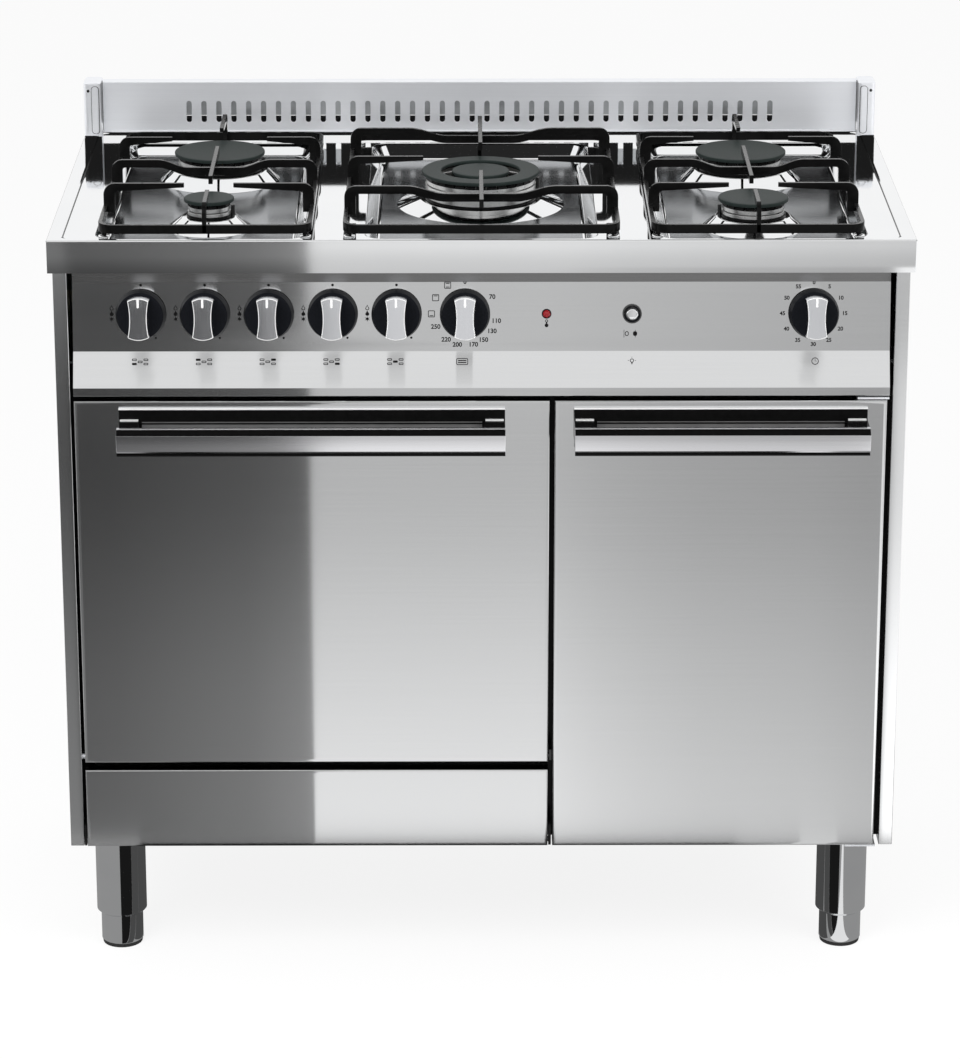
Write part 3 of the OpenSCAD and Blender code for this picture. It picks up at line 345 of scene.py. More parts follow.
def buildEdgeWearAndHighlight():
    # a mask of the convex edges, broken up by noise, for worn edges and for a painted edge highlight
    group, start, end = newGroup("edgeWearAndHighlightMask", [
        ("Reach", "Float", 0.56), ("Amount", "Float", 0.5)], [("Mask", "Float")])
    shape = node(group, "ShaderNodeNewGeometry")
    place = node(group, "ShaderNodeTexCoord")
    noise = node(group, "ShaderNodeTexNoise", {"Scale": 320.0, "Detail": 3.0})
    span = node(group, "ShaderNodeMapRange", {"From Max": 0.7})
    both = node(group, "ShaderNodeMath", operation="MULTIPLY")
    scale = node(group, "ShaderNodeMath", operation="MULTIPLY", use_clamp=True)
    link = group.links.new
    link(place.outputs["Object"], noise.inputs["Vector"])
    link(shape.outputs["Pointiness"], span.inputs["Value"])
    link(start.outputs["Reach"], span.inputs["From Min"])
    link(span.outputs["Result"], both.inputs[0])
    link(noise.outputs["Fac"], both.inputs[1])
    link(both.outputs[0], scale.inputs[0])
    link(start.outputs["Amount"], scale.inputs[1])
    link(scale.outputs[0], end.inputs["Mask"])
    return group


grainGroup, reliefGroup, toneGroup, edgeWearAndHighlightGroup = buildGrain(), buildRelief(), buildTone(), buildEdgeWearAndHighlight()


def useGroup(tree, group, **values):
    made = tree.nodes.new("ShaderNodeGroup")
    made.node_tree = group
    for key, value in values.items():
        made.inputs[key].default_value = value
    return made


def rgb(r, g=None, b=None):
    return (r, r if g is None else g, r if b is None else b, 1)


def makeFinish(name, dark, light, smooth, rough, stretch, detail=2.0, contrast=1.0, relief=0.1, depth=0.0001,
               edgeWearAndHighlight=0.0, edgeWearAndHighlightColour=0.7, brushed=0.0, **sockets):
    # one surface: a grain that shifts its colour and roughness, a light relief,
    # and lighter edges where it has them, standing for wear and for a painted highlight
    material = bpy.data.materials.new(name)
    material.use_nodes = True
    tree = material.node_tree
    shader = tree.nodes["Principled BSDF"]
    for key, value in sockets.items():
        shader.inputs[key.replace("_", " ")].default_value = value
    grain = useGroup(tree, grainGroup, Stretch=stretch, Detail=detail, Contrast=contrast)
    tone = useGroup(tree, toneGroup, Dark=dark, Light=light, Smooth=smooth, Rough=rough)
    bump = useGroup(tree, reliefGroup, Strength=relief, Depth=depth)
    link = tree.links.new
    link(grain.outputs["Mask"], tone.inputs["Mask"])
    link(grain.outputs["Mask"], bump.inputs["Mask"])
    link(tone.outputs["Roughness"], shader.inputs["Roughness"])
    link(bump.outputs["Normal"], shader.inputs["Normal"])
    colour = tone.outputs["Colour"]
    if edgeWearAndHighlight:
        edge = useGroup(tree, edgeWearAndHighlightGroup, Amount=edgeWearAndHighlight)
        mix = node(tree, "ShaderNodeMix", {7: rgb(edgeWearAndHighlightColour)}, data_type="RGBA")
        link(edge.outputs["Mask"], mix.inputs[0])
        link(colour, mix.inputs[6])
        colour = mix.outputs[2]
    link(colour, shader.inputs["Base Color"])
    if brushed:
        shader.inputs["Anisotropic"].default_value = brushed
        shader.inputs["Anisotropic Rotation"].default_value = 0.25
        tangent = node(tree, "ShaderNodeTangent", direction_type="RADIAL", axis="Z")
        link(tangent.outputs[0], shader.inputs["Tangent"])
    return material


finish = {
    "brushed": makeFinish("brushedSteel", rgb(0.67, 0.675, 0.68), rgb(0.7, 0.705, 0.71), 0.065, 0.085,
                          (6, 6, 900), relief=0.012, depth=0.00003, brushed=1.0, Metallic=1.0),
    "satin": makeFinish("satinSteel", rgb(0.87, 0.885, 0.92), rgb(0.92, 0.935, 0.965), 0.4, 0.48,
                        (6, 6, 700), relief=0.04, depth=0.00003, Metallic=0.75),
    "paintedShadeSteel": makeFinish("paintedShadeSteel", rgb(0.2), rgb(0.27), 0.2, 0.3, (6, 6, 600), Metallic=1.0),
    # dark steel for dark parts, also painted on as shade and as a dark reflection
    "darkSteelAndPaintedShade": makeFinish("darkSteelAndPaintedShade", rgb(0.04), rgb(0.07), 0.2, 0.3, (6, 6, 600), Metallic=1.0),
    "mirror": makeFinish("mirrorSteel", rgb(0.84, 0.85, 0.86), rgb(0.89, 0.895, 0.9), 0.03, 0.06,
                         (14, 14, 14), detail=4, relief=0.003, depth=0.0003, Metallic=1.0),
    # the tray floors' darker colour is painted shade, standing in for the darker reflection they show
    "tray": makeFinish("trayFloorShadedSteel", rgb(0.25, 0.26, 0.275), rgb(0.33, 0.345, 0.36), 0.13, 0.19,
                       (40, 40, 40), detail=4, relief=0.006, depth=0.0003, Metallic=1.0),
    "chrome": makeFinish("chrome", rgb(0.82, 0.83, 0.84), rgb(0.88, 0.885, 0.89), 0.03, 0.06,
                         (30, 30, 30), relief=0.01, Metallic=1.0),
    "zinc": makeFinish("galvanisedSteel", rgb(0.5, 0.52, 0.53), rgb(0.66, 0.68, 0.7), 0.3, 0.5,
                       (60, 60, 60), detail=5, contrast=1.8, relief=0.08, depth=0.0002, Metallic=1.0),
    # its lighter edges are a painted highlight
    "blackEnamel": makeFinish("blackEnamel", rgb(0.003), rgb(0.006), 0.1, 0.2, (160, 160, 160), relief=0.06,
                              depth=0.0002, edgeWearAndHighlight=0.1, edgeWearAndHighlightColour=0.1, Specular_IOR_Level=0.07),
    "upFacingEnamel": makeFinish("upFacingEnamel", rgb(0.05), rgb(0.09), 0.2, 0.35, (60, 60, 60),
                             contrast=0.6, relief=0.0, Metallic=0.85),
    "capEnamel": makeFinish("capEnamel", rgb(0.012, 0.018, 0.017), rgb(0.024, 0.032, 0.03), 0.38, 0.55,
                            (900, 900, 900), detail=3, relief=0.2, depth=0.0001, edgeWearAndHighlight=0.2, edgeWearAndHighlightColour=0.12,
                            Specular_IOR_Level=0.15),
    "handleSteel": makeFinish("handleSteel", rgb(0.8, 0.8, 0.82), rgb(0.86, 0.86, 0.88), 0.1, 0.14,
                              (6, 6, 500), relief=0.01, Metallic=1.0),
    "alloy": makeFinish("castAlloy", rgb(0.6, 0.6, 0.59), rgb(0.78, 0.78, 0.77), 0.22, 0.4,
                        (500, 500, 500), detail=3, relief=0.12, depth=0.0001, Metallic=1.0),
    "ovenEnamel": makeFinish("ovenEnamel", rgb(0.03, 0.033, 0.036), rgb(0.09, 0.095, 0.1), 0.15, 0.3,
                             (700, 700, 700), detail=6, contrast=2.2, relief=0.08, Coat_Weight=0.4),
    "brass": makeFinish("brass", rgb(0.62, 0.44, 0.2), rgb(0.75, 0.56, 0.28), 0.25, 0.42, (90, 90, 90),
                        detail=3, relief=0.06, Metallic=1.0),
    "wool": makeFinish("mineralWool", rgb(0.55, 0.47, 0.3), rgb(0.8, 0.74, 0.58), 0.9, 1.0, (260, 700, 260),
                       detail=6, contrast=1.6, relief=0.8, depth=0.001),
    "rubber": makeFinish("rubber", rgb(0.012), rgb(0.03), 0.6, 0.8, (400, 400, 400), relief=0.2),
    "glass": makeFinish("lampGlass", rgb(0.8, 0.8, 0.75), rgb(0.92, 0.92, 0.88), 0.08, 0.25, (150, 150, 150),
                        relief=0.1, Coat_Weight=0.6),
    "paintedReflectionGrey": makeFinish("paintedReflectionGrey", rgb(0.08), rgb(0.13), 0.4, 0.5, (60, 60, 60)),
    "plastic": makeFinish("switchPlastic", rgb(0.02), rgb(0.04), 0.35, 0.5, (600, 600, 600), relief=0.1),
    "red": makeFinish("redLens", rgb(0.2, 0.008, 0.012), rgb(0.3, 0.015, 0.02), 0.1, 0.2, (300, 300, 300),
                      Coat_Weight=0.3, Specular_IOR_Level=0.3),
    "knobBlack": makeFinish("knobBlack", rgb(0.006, 0.0065, 0.008), rgb(0.011, 0.012, 0.015), 0.25, 0.36,
                            (500, 500, 500), relief=0.04, Specular_IOR_Level=0.02),
    "knobSilver": makeFinish("knobSilver", rgb(0.84, 0.85, 0.88), rgb(0.91, 0.92, 0.95), 0.1, 0.16,
                             (900, 40, 40), relief=0.02, Metallic=1.0),
    # pale pointers, and painted highlights on the handle lips, bracket plates and knob grip edges
    "pointerPaleAndPaintedHighlight": makeFinish("pointerPaleAndPaintedHighlight", rgb(0.72), rgb(0.86), 0.2, 0.3, (600, 600, 600)),
    "ink": makeFinish("printInk", rgb(0.004), rgb(0.01), 0.4, 0.6, (2000, 2000, 2000),
                      Specular_IOR_Level=0.1),
    "element": makeFinish("elementSheath", rgb(0.12, 0.11, 0.1), rgb(0.26, 0.24, 0.22), 0.4, 0.6,
                          (120, 120, 120), relief=0.1, Metallic=0.8),
}
print("finishes made:", len(finish))


# Hob: apron, raised rim, three pressed trays and the mounds round the burners

hobSpec = {
    "rimUp": 1.0, "rimFront": 6, "rimSide": 17, "rimBack": 22, "ramp": 3.5, "basinCorner": 14,
    "rampShape": [(0, 1), (0.12, 0.98), (0.5, 0.5), (0.88, 0.02), (1, 0), (1.3, 0)],
    "plateCorner": 1.2, "edgeRadius": 1.6, "wall": 1.2, "shelf": 7, "neckStep": 9,
}
trays = [{"x": s, "w": w, "deep": deep, "front": 10.6, "back": 441, "slope": 11.5, "corner": 20}
         for s, w, deep in ((-292.5, 217, 12), (292.5, 217, 12), (0, 242, 17))]
burners = [
    {"name": "front_left", "x": -287, "d": 106, "cap": 53, "mound": 90, "deep": 12, "slots": 14, "rise": 13},
    {"name": "rear_left", "x": -287, "d": 318, "cap": 99, "mound": 131, "deep": 12, "slots": 24, "rise": 13},
    {"name": "rear_right", "x": 287, "d": 318, "cap": 99, "mound": 131, "deep": 12, "slots": 24, "rise": 13},
    {"name": "front_right", "x": 287, "d": 106, "cap": 74, "mound": 107, "deep": 12, "slots": 18, "rise": 13},
    {"name": "centre", "x": 0, "d": 227, "cap": 127, "mound": 180, "deep": 17, "slots": 32, "rise": 8},
]
capOverhang = 4.5


def cupRadius(b):
    return b["cap"] / 2 - capOverhang


def ringEdges(ring):
    found = []
    for a, b in zip(ring, ring[1:] + ring[:1]):
        found.append(next(e for e in a.link_edges if e.other_vert(a) is b))
    return found


def fillFlat(bm, rings):
    edges = [edge for ring in rings for edge in ringEdges(ring)]
    bmesh.ops.triangle_fill(bm, use_beauty=True, use_dissolve=False, edges=edges)


def makeHob():
    spec = hobSpec
    bm = bmesh.new()
    half, deep = hobHigh.x / mm, (hobHigh.y - hobLow.y) / mm
    low, up = (hobLow.z - hobZ) / mm, spec["rimUp"]
    side = fillet([(0, low), (0, up), (spec["rimFront"], up)], spec["edgeRadius"], 5)
    rings = [ringAt(roundRect(-half + s, half - s, s, deep - s, spec["plateCorner"] + 0.2 * s), z)
             for s, z in side[:-1]]
    for t, z in spec["rampShape"]:
        grow = spec["ramp"] * (1 - t)
        side = half - spec["rimSide"] + grow
        basin = roundRect(-side, side, spec["rimFront"] - grow, deep - spec["rimBack"] + grow,
                          spec["basinCorner"] + grow)
        rings.append(ringAt(basin, z * up))
    plate = loft(bm, rings)[-1]
    holes = []
    for tray in trays:
        base, slope = -tray["deep"], tray["slope"]
        wall = fillet([(-2, 0), (0, 0), (slope, base), (slope + 8, base)], [0, 3, 5, 0], 5)
        x0, x1 = tray["x"] - tray["w"] / 2, tray["x"] + tray["w"] / 2
        made = loft(bm, [ringAt(roundRect(x0 + s, x1 - s, tray["front"] + s, tray["back"] - s,
                                          tray["corner"] - 0.5 * s), z) for s, z in [(-2.6, 0)] + wall])
        holes.append(made[0])
        floor = [made[-1]]
        for b in [b for b in burners if abs(b["x"] - tray["x"]) < tray["w"] / 2]:
            foot, top = b["mound"] / 2, base + b["rise"]
            line = fillet([(foot + 2.5, base), (foot, base), (cupRadius(b) + spec["shelf"], top),
                           (cupRadius(b) - spec["neckStep"] + 1, top)], [0, 1.5, 2.5, 0], 4)
            floor.append(lathe(bm, [(foot + 3.2, base)] + line, (b["x"], b["d"]), 96)[0])
        fillFlat(bm, floor)
    fillFlat(bm, [plate] + holes)
    return toPiece(bm, "hobPlate", solid=spec["wall"])


def onTrayFloor(place, face):
    return face.normal.z > 0.9999 and any(
        abs(place.x - t["x"]) < t["w"] / 2 and abs(place.z + t["deep"]) < 1.2 for t in trays)


def onPaintedReflectionLine(place, face):
    # the dark lines painted along the foot of the raised rim and along the plate's side edges: a painted
    # reflection of something dark
    half = hobHigh.x / mm
    beside = abs(place.x) > half - hobSpec["rimSide"] - 2 or place.y < hobSpec["rimFront"] + 0.2
    foot = 0.1 < place.z < 0.5 and face.normal.z > 0.8 and beside
    return foot or (abs(place.x) > half - 0.7 and place.z > -1.5)


hob = dress(makeHob(), "cabinet", [finish["mirror"], finish["tray"], finish["darkSteelAndPaintedShade"]],
            ["hob_top"])
# the tray floors are painted darker steel: painted shade
paintFaces(hob, 1, onTrayFloor)
# painted reflection: dark steel along the rim's foot and the plate's side edges
paintFaces(hob, 2, onPaintedReflectionLine)
print("hob made")


# Burners: cups, slotted crowns and caps

burnerSpec = {
    "capTop": 21, "capThick": 4, "rimRound": 1.4, "crownLow": 8, "crownHigh": 17,
    "slotLow": 12.6, "footRingUp": 2.6, "footRingOut": 1.8, "ringHole": 42.5, "innerCap": 31, "innerSlots": 18,
    "slotWide": 1.8, "wall": 3, "roof": 1.2, "cupDrop": 0.8, "cupOut": 0.6, "neckDown": 12, "innerStep": 2.2,
}


def capProfile(outer, hole=0):
    top, low = burnerSpec["capTop"], burnerSpec["capTop"] - burnerSpec["capThick"]
    if hole:
        line = [(hole, low), (outer, low), (outer, top), (hole, top)]
        return fillet(line, burnerSpec["rimRound"], 4, closed=True)
    line = [(0, low), (outer, low), (outer, top - 0.3), (outer - 4, top), (0, top)]
    return fillet(line, [0, 0.8, 1.3, 3, 0], 4)


def makeCaps():
    bm = bmesh.new()
    for b in burners[:4]:
        lathe(bm, capProfile(b["cap"] / 2), (b["x"], b["d"]), 96)
    ring = burners[4]
    place = (ring["x"], ring["d"])
    lathe(bm, capProfile(burnerSpec["innerCap"]), place, 72)
    lathe(bm, capProfile(ring["cap"] / 2, burnerSpec["ringHole"]), place, 120, around=True)
    return toPiece(bm, "burnerCaps")


def makeCups():
    bm = bmesh.new()
    spec = burnerSpec
    top, wall = spec["crownLow"] - spec["cupDrop"], spec["wall"]
    for b in burners:
        r, foot = cupRadius(b), -b["deep"] + b["rise"]
        out, neck, low = r + spec["cupOut"], r - hobSpec["neckStep"], foot - spec["neckDown"]
        line = [(neck, low), (neck, foot + 0.2), (out, foot + 0.2), (out, top), (r - wall, top),
                (r - wall, foot + wall), (neck - 2, foot + wall), (neck - 2, low)]
        lathe(bm, fillet(line, 0.5, 2, closed=True), (b["x"], b["d"]), 96, around=True)
    ring = burners[4]
    foot = -ring["deep"] + ring["rise"] + wall
    r = spec["innerCap"] - spec["innerStep"]
    line = [(0, foot), (r, foot), (r, spec["crownLow"]), (0, spec["crownLow"])]
    lathe(bm, fillet(line, [0, 0.5, 0.5, 0], 2), (ring["x"], ring["d"]), 72)
    return toPiece(bm, "burnerCups")


def makeFootRings():
    # the dark ring at the foot of each burner
    bm = bmesh.new()
    for b in burners:
        foot = -b["deep"] + b["rise"] + 0.1
        inner, outer = cupRadius(b) + 0.3, cupRadius(b) + burnerSpec["footRingOut"]
        top = foot + burnerSpec["footRingUp"]
        line = [(inner, foot), (outer, foot), (outer, top - 1), (inner + 0.9, top), (inner, top)]
        lathe(bm, fillet(line, 0.6, 2, closed=True), (b["x"], b["d"]), 96, around=True)
    return toPiece(bm, "burnerFootRings")


def toothTree():
    # stands a tooth at each flame slot's side, all round one crown
    tree, start, end = newGroup("crownTeeth", [
        ("Radius", "Float", 0.03), ("Count", "Int", 20), ("Tooth width", "Float", 0.004),
        ("Tooth height", "Float", 0.004), ("Tooth depth", "Float", 0.003), ("Finish", "Material", None)],
        [("Geometry", "Geometry")], "Geometry")
    circle = node(tree, "GeometryNodeCurvePrimitiveCircle")
    points = node(tree, "GeometryNodeCurveToPoints", mode="COUNT")
    size = node(tree, "ShaderNodeCombineXYZ")
    tooth = node(tree, "GeometryNodeMeshCube")
    place = node(tree, "GeometryNodeInstanceOnPoints")
    whole = node(tree, "GeometryNodeRealizeInstances")
    paint = node(tree, "GeometryNodeSetMaterial")
    link = tree.links.new
    link(start.outputs["Radius"], circle.inputs["Radius"])
    link(circle.outputs["Curve"], points.inputs["Curve"])
    link(start.outputs["Count"], points.inputs["Count"])
    link(start.outputs["Tooth depth"], size.inputs["Y"])
    link(start.outputs["Tooth height"], size.inputs["X"])
    link(start.outputs["Tooth width"], size.inputs["Z"])
    link(size.outputs[0], tooth.inputs["Size"])
    link(points.outputs["Points"], place.inputs["Points"])
    link(points.outputs["Rotation"], place.inputs["Rotation"])
    link(tooth.outputs["Mesh"], place.inputs["Instance"])
    link(place.outputs["Instances"], whole.inputs["Geometry"])
    link(whole.outputs["Geometry"], paint.inputs["Geometry"])
    link(start.outputs["Finish"], paint.inputs["Material"])
    link(paint.outputs["Geometry"], end.inputs["Geometry"])
    return tree


def grow(tree, values):
    # runs a geometry tree once and hands back its plain mesh
    carrier = addObject("carrier", bpy.data.meshes.new("carrier"))
    run = carrier.modifiers.new("run", "NODES")
    run.node_group = tree
    sockets = {s.name: s.identifier for s in tree.interface.items_tree if s.in_out == "INPUT"}
    for name, value in values.items():
        run[sockets[name]] = value
    mesh = bakedMesh(carrier)
    carrier.modifiers.clear()
    bpy.data.objects.remove(carrier)
    return mesh


def makeCrowns():
    bm = bmesh.new()
    spec = burnerSpec
    teeth = toothTree()
    low, high, top, wall = spec["crownLow"], spec["slotLow"], spec["crownHigh"], spec["wall"]
    under = top - spec["roof"]
    rings = [(b["x"], b["d"], cupRadius(b), b["slots"], spec["ringHole"] + 2 if b["name"] == "centre" else 0)
             for b in burners]
    centre = burners[4]
    rings.append((centre["x"], centre["d"], spec["innerCap"] - spec["innerStep"], spec["innerSlots"], 0))
    for x, d, r, slots, hole in rings:
        inner = max(hole, r - wall)
        body = fillet([(inner, low), (r, low), (r, high), (inner, high)], 0.3, 2, closed=True)
        lathe(bm, body, (x, d), 96, around=True)
        roof = fillet([(hole, under), (r, under), (r, top), (hole, top)], [0, 0.3, 0.3, 0], 2)
        lathe(bm, roof, (x, d), 96, around=hole > 0)
        wide, tall = 2 * math.pi * r / slots - spec["slotWide"], under - high + 0.6
        mesh = grow(teeth, {"Radius": (r - wall / 2 - 0.15) * mm, "Count": slots, "Tooth width": wide * mm,
                            "Tooth height": tall * mm, "Tooth depth": (wall - 0.6) * mm,
                            "Finish": finish["alloy"]})
        addMesh(bm, mesh, Matrix.Translation((x, d, (high + under) / 2)) @ toMm)
    return toPiece(bm, "burnerCrowns")


dress(makeCaps(), "cabinet", finish["capEnamel"], ["burner_caps"])
dress(makeCups(), "cabinet", finish["alloy"], ["burner_cups"])
dress(makeFootRings(), "cabinet", finish["blackEnamel"])
crowns = dress(makeCrowns(), "cabinet", [finish["alloy"], finish["blackEnamel"]],
               ["burner_crowns"])
# the teeth and roof under the cap are painted black: a painted shade under the cap's rim
paintFaces(crowns, 1, lambda place, face: place.z > burnerSpec["slotLow"] - 0.3)
print("burners made")


# Splashback: a slotted plate, its folds and bead, and the two end caps

splashSpec = {
    "deep": 18, "thick": 1.5, "slots": 40, "pitch": 17, "slotWide": 6, "slotLong": 25, "slotUp": 12,
    "fold": 8, "upstand": 16, "baffleLow": 20, "baffleHigh": 44, "capWide": 20, "capRound": 5, "cardHigh": 62,
}
splashX0, splashX1, _, splashD1, _, splashTop = boxMm("splashback")
splashD0 = splashD1 - splashSpec["deep"]


def slotTree():
    # a flat plate with a row of rounded slots, drawn in the XY plane and given its thickness along Z
    tree, start, end = newGroup("slottedPlate", [
        ("Width", "Float", 0.8), ("Height", "Float", 0.05), ("Thickness", "Float", 0.0015),
        ("Slots", "Int", 40), ("Pitch", "Float", 0.017), ("Slot width", "Float", 0.006),
        ("Slot length", "Float", 0.025), ("Slot centre", "Float", 0.0), ("Finish", "Material", None)],
        [("Geometry", "Geometry")], "Geometry")
    outline = node(tree, "GeometryNodeCurvePrimitiveQuadrilateral")
    slot = node(tree, "GeometryNodeCurvePrimitiveQuadrilateral")
    halfWide = node(tree, "ShaderNodeMath", {1: 0.499}, operation="MULTIPLY")
    ends = node(tree, "GeometryNodeFilletCurve", {"Count": 5}, mode="POLY")
    less = node(tree, "ShaderNodeMath", {1: 1.0}, operation="SUBTRACT")
    span = node(tree, "ShaderNodeMath", operation="MULTIPLY")
    first = node(tree, "ShaderNodeMath", {1: -0.5}, operation="MULTIPLY")
    begin, step = node(tree, "ShaderNodeCombineXYZ"), node(tree, "ShaderNodeCombineXYZ")
    row = node(tree, "GeometryNodeMeshLine", mode="OFFSET")
    place = node(tree, "GeometryNodeInstanceOnPoints")
    whole = node(tree, "GeometryNodeRealizeInstances")
    both = node(tree, "GeometryNodeJoinGeometry")
    fill = node(tree, "GeometryNodeFillCurve")
    push = node(tree, "GeometryNodeExtrudeMesh", {"Individual": False})
    flip = node(tree, "GeometryNodeFlipFaces")
    closed = node(tree, "GeometryNodeJoinGeometry")
    weld = node(tree, "GeometryNodeMergeByDistance", {"Distance": 0.00001})
    paint = node(tree, "GeometryNodeSetMaterial")
    link = tree.links.new
    for a, b in (("Width", outline.inputs["Width"]), ("Height", outline.inputs["Height"]),
                 ("Slot width", slot.inputs["Width"]), ("Slot length", slot.inputs["Height"]),
                 ("Slot width", halfWide.inputs[0]), ("Slots", less.inputs[0]), ("Pitch", span.inputs[1]),
                 ("Slot centre", begin.inputs["Y"]), ("Pitch", step.inputs["X"]),
                 ("Slots", row.inputs["Count"]), ("Thickness", push.inputs["Offset Scale"]),
                 ("Finish", paint.inputs["Material"])):
        link(start.outputs[a], b)
    link(slot.outputs[0], ends.inputs["Curve"])
    link(halfWide.outputs[0], ends.inputs["Radius"])
    link(less.outputs[0], span.inputs[0])
    link(span.outputs[0], first.inputs[0])
    link(first.outputs[0], begin.inputs["X"])
    link(begin.outputs[0], row.inputs["Start Location"])
    link(step.outputs[0], row.inputs["Offset"])
    link(row.outputs[0], place.inputs["Points"])
    link(ends.outputs[0], place.inputs["Instance"])
    link(place.outputs[0], whole.inputs[0])
    link(whole.outputs[0], both.inputs[0])
    link(outline.outputs[0], both.inputs[0])
    link(both.outputs[0], fill.inputs["Curve"])
    link(fill.outputs[0], push.inputs["Mesh"])
    link(fill.outputs[0], flip.inputs["Mesh"])
    link(push.outputs["Mesh"], closed.inputs[0])
    link(flip.outputs[0], closed.inputs[0])
    link(closed.outputs[0], weld.inputs["Geometry"])
    link(weld.outputs[0], paint.inputs["Geometry"])
    link(paint.outputs[0], end.inputs["Geometry"])
    return tree


def makeSplash():
    spec = splashSpec
    bm = bmesh.new()
    low, high = spec["thick"], splashTop - spec["thick"]
    slotMiddle = spec["slotUp"] + spec["slotLong"] / 2
    mesh = grow(slotTree(), {
        "Width": (splashX1 - splashX0) * mm, "Height": (high - low) * mm, "Thickness": spec["thick"] * mm,
        "Slots": spec["slots"], "Pitch": spec["pitch"] * mm, "Slot width": spec["slotWide"] * mm,
        "Slot length": spec["slotLong"] * mm, "Slot centre": (slotMiddle - (low + high) / 2) * mm,
        "Finish": finish["brushed"]})
    place = Matrix.Translation((0, splashD0 + spec["thick"], (low + high) / 2))
    addMesh(bm, mesh, place @ Matrix.Rotation(math.radians(90), 4, "X") @ toMm)
    return toPiece(bm, "splashPlate")


def makeSplashFolds():
    t, near, back = splashSpec["thick"], splashD0, splashD1
    fold, under = splashTop - splashSpec["fold"], splashTop - splashSpec["thick"]
    bm = bmesh.new()
    top = fillet([(near, under - 0.02), (near, splashTop), (back, splashTop), (back, fold), (back - t, fold),
                  (back - t, under), (near + t, under - 0.02)], [0, 1.2, 1.2, 0, 0, 0.4, 0], 4)
    prism(bm, top, "x", splashX0, splashX1)
    foot = fillet([(near - 0.9, 0), (near + t, 0), (near + t, 3), (near, 3.4), (near - 0.9, 2)],
                  [0, 0, 0, 0.4, 0.8], 4, closed=True)
    prism(bm, foot, "x", splashX0, splashX1)
    return toPiece(bm, "splashFolds")


def makeUpstand():
    bm = bmesh.new()
    near, up = splashD1 - splashSpec["thick"], splashSpec["upstand"]
    line = fillet([(near, 0), (splashD1, 0), (splashD1, up), (near, up)], [0, 0, 0.6, 0.6], 3, closed=True)
    prism(bm, line, "x", splashX0, splashX1)
    return toPiece(bm, "splashUpstand")


def makeBaffle():
    # a plate just behind the slots, open at its foot
    s = splashSpec
    bm = bmesh.new()
    d = splashD0 + s["thick"] + 0.9
    block(bm, splashX0 + s["capWide"], splashX1 - s["capWide"], d, d + 0.8, s["baffleLow"], s["baffleHigh"])
    return toPiece(bm, "splashBaffle")


def makeEndCaps():
    spec = splashSpec
    bm = bmesh.new()
    _, capX, d0, d1, z0, z1 = boxMm("splashback_end_caps")
    rim = fillet([(0, z0), (0, z1), (3, z1)], 1.5, 4)
    for side in (-1, 1):
        a, b = sorted((side * (capX - spec["capWide"]), side * capX))
        rings = [ringAt(roundRect(a + s, b - s, d0 + s, d1 - s, spec["capRound"] - min(s, 1.5)), z)
                 for s, z in rim]
        loft(bm, rings, capStart=True, capEnd=True)
    return toPiece(bm, "splashEndCaps")


trimSpec = {"start": 2.2, "end": 11.4, "low": 2.5, "high": 3.5, "round": 4.4, "line": 0.6, "out": 0.06,
            "sunk": 0.3, "screwIn": 14.5, "screwDown": 9}


def makeCapTrim():
    # the dark outline of each end cap's face, its seam and its screw
    t = trimSpec
    bm = bmesh.new()
    _, capX, d0, _, z0, z1 = boxMm("splashback_end_caps")
    for side in (-1, 1):
        inner = side * (capX - splashSpec["capWide"])
        u0, u1 = sorted((inner + side * t["start"], inner + side * t["end"]))
        outer, hole = [roundRect(u0 + s, u1 - s, z0 + t["low"] + s, z1 - t["high"] - s, t["round"] - s)
                       for s in (0, t["line"])]
        back, front = d0 + t["sunk"], d0 - t["out"]
        loft(bm, [[(u, d, v) for u, v in ring] for ring, d in
                  ((outer, back), (outer, front), (hole, front), (hole, back))], around=True)
        seam = sorted((inner - side * 0.5, inner + side * 0.1))
        block(bm, seam[0], seam[1], splashD0 - 0.25, splashD0 + 0.3, z0, z1 - 1)
        screw = bmesh.new()
        lathe(screw, fillet([(0, 0), (1.7, 0), (1.7, 0.5), (0, 0.9)], [0, 0, 0.3, 0], 2), segs=20)
        place = Matrix.Translation((inner + side * t["screwIn"], d0 + 0.1, z1 - t["screwDown"]))
        addPart(bm, screw, place @ Matrix.Rotation(math.pi / 2, 4, "X"))
    return toPiece(bm, "splashCapTrim")


dress(makeSplash(), "cabinet", finish["satin"], ["splashback"])
dress(makeSplashFolds(), "cabinet", finish["satin"])
# the upstand behind the hob is painted dark: a painted shade
dress(makeUpstand(), "cabinet", finish["darkSteelAndPaintedShade"])
dress(makeBaffle(), "cabinet", finish["zinc"])
dress(makeEndCaps(), "cabinet", finish["satin"], ["splashback_end_caps"])
dress(makeCapTrim(), "cabinet", finish["darkSteelAndPaintedShade"])
print("splashback made")


# Pan supports: flat bars with rounded edges

supportSpec = {"bar": 4.5, "railLow": 4.3, "railHigh": 13.6, "pan": 36, "finger": 8.5, "tip": 4.5, "dip": 8.5,
               "bend": 12, "crook": 3, "post": 12, "corner": 18, "round": 1.3, "front": 14, "back": 440,
               "foot": 6.5, "sideX": 287, "sideHalf": 111, "centreHalf": 144, "barFront": 75, "barBack": 63,
               "frontTip": 29, "rearTip": 43, "frontFinger": 85, "rearFinger": 59, "centreFinger": 82,
               "wavesOut": 134, "barsOut": 129, "barHalf": 65, "footTop": 1.95}


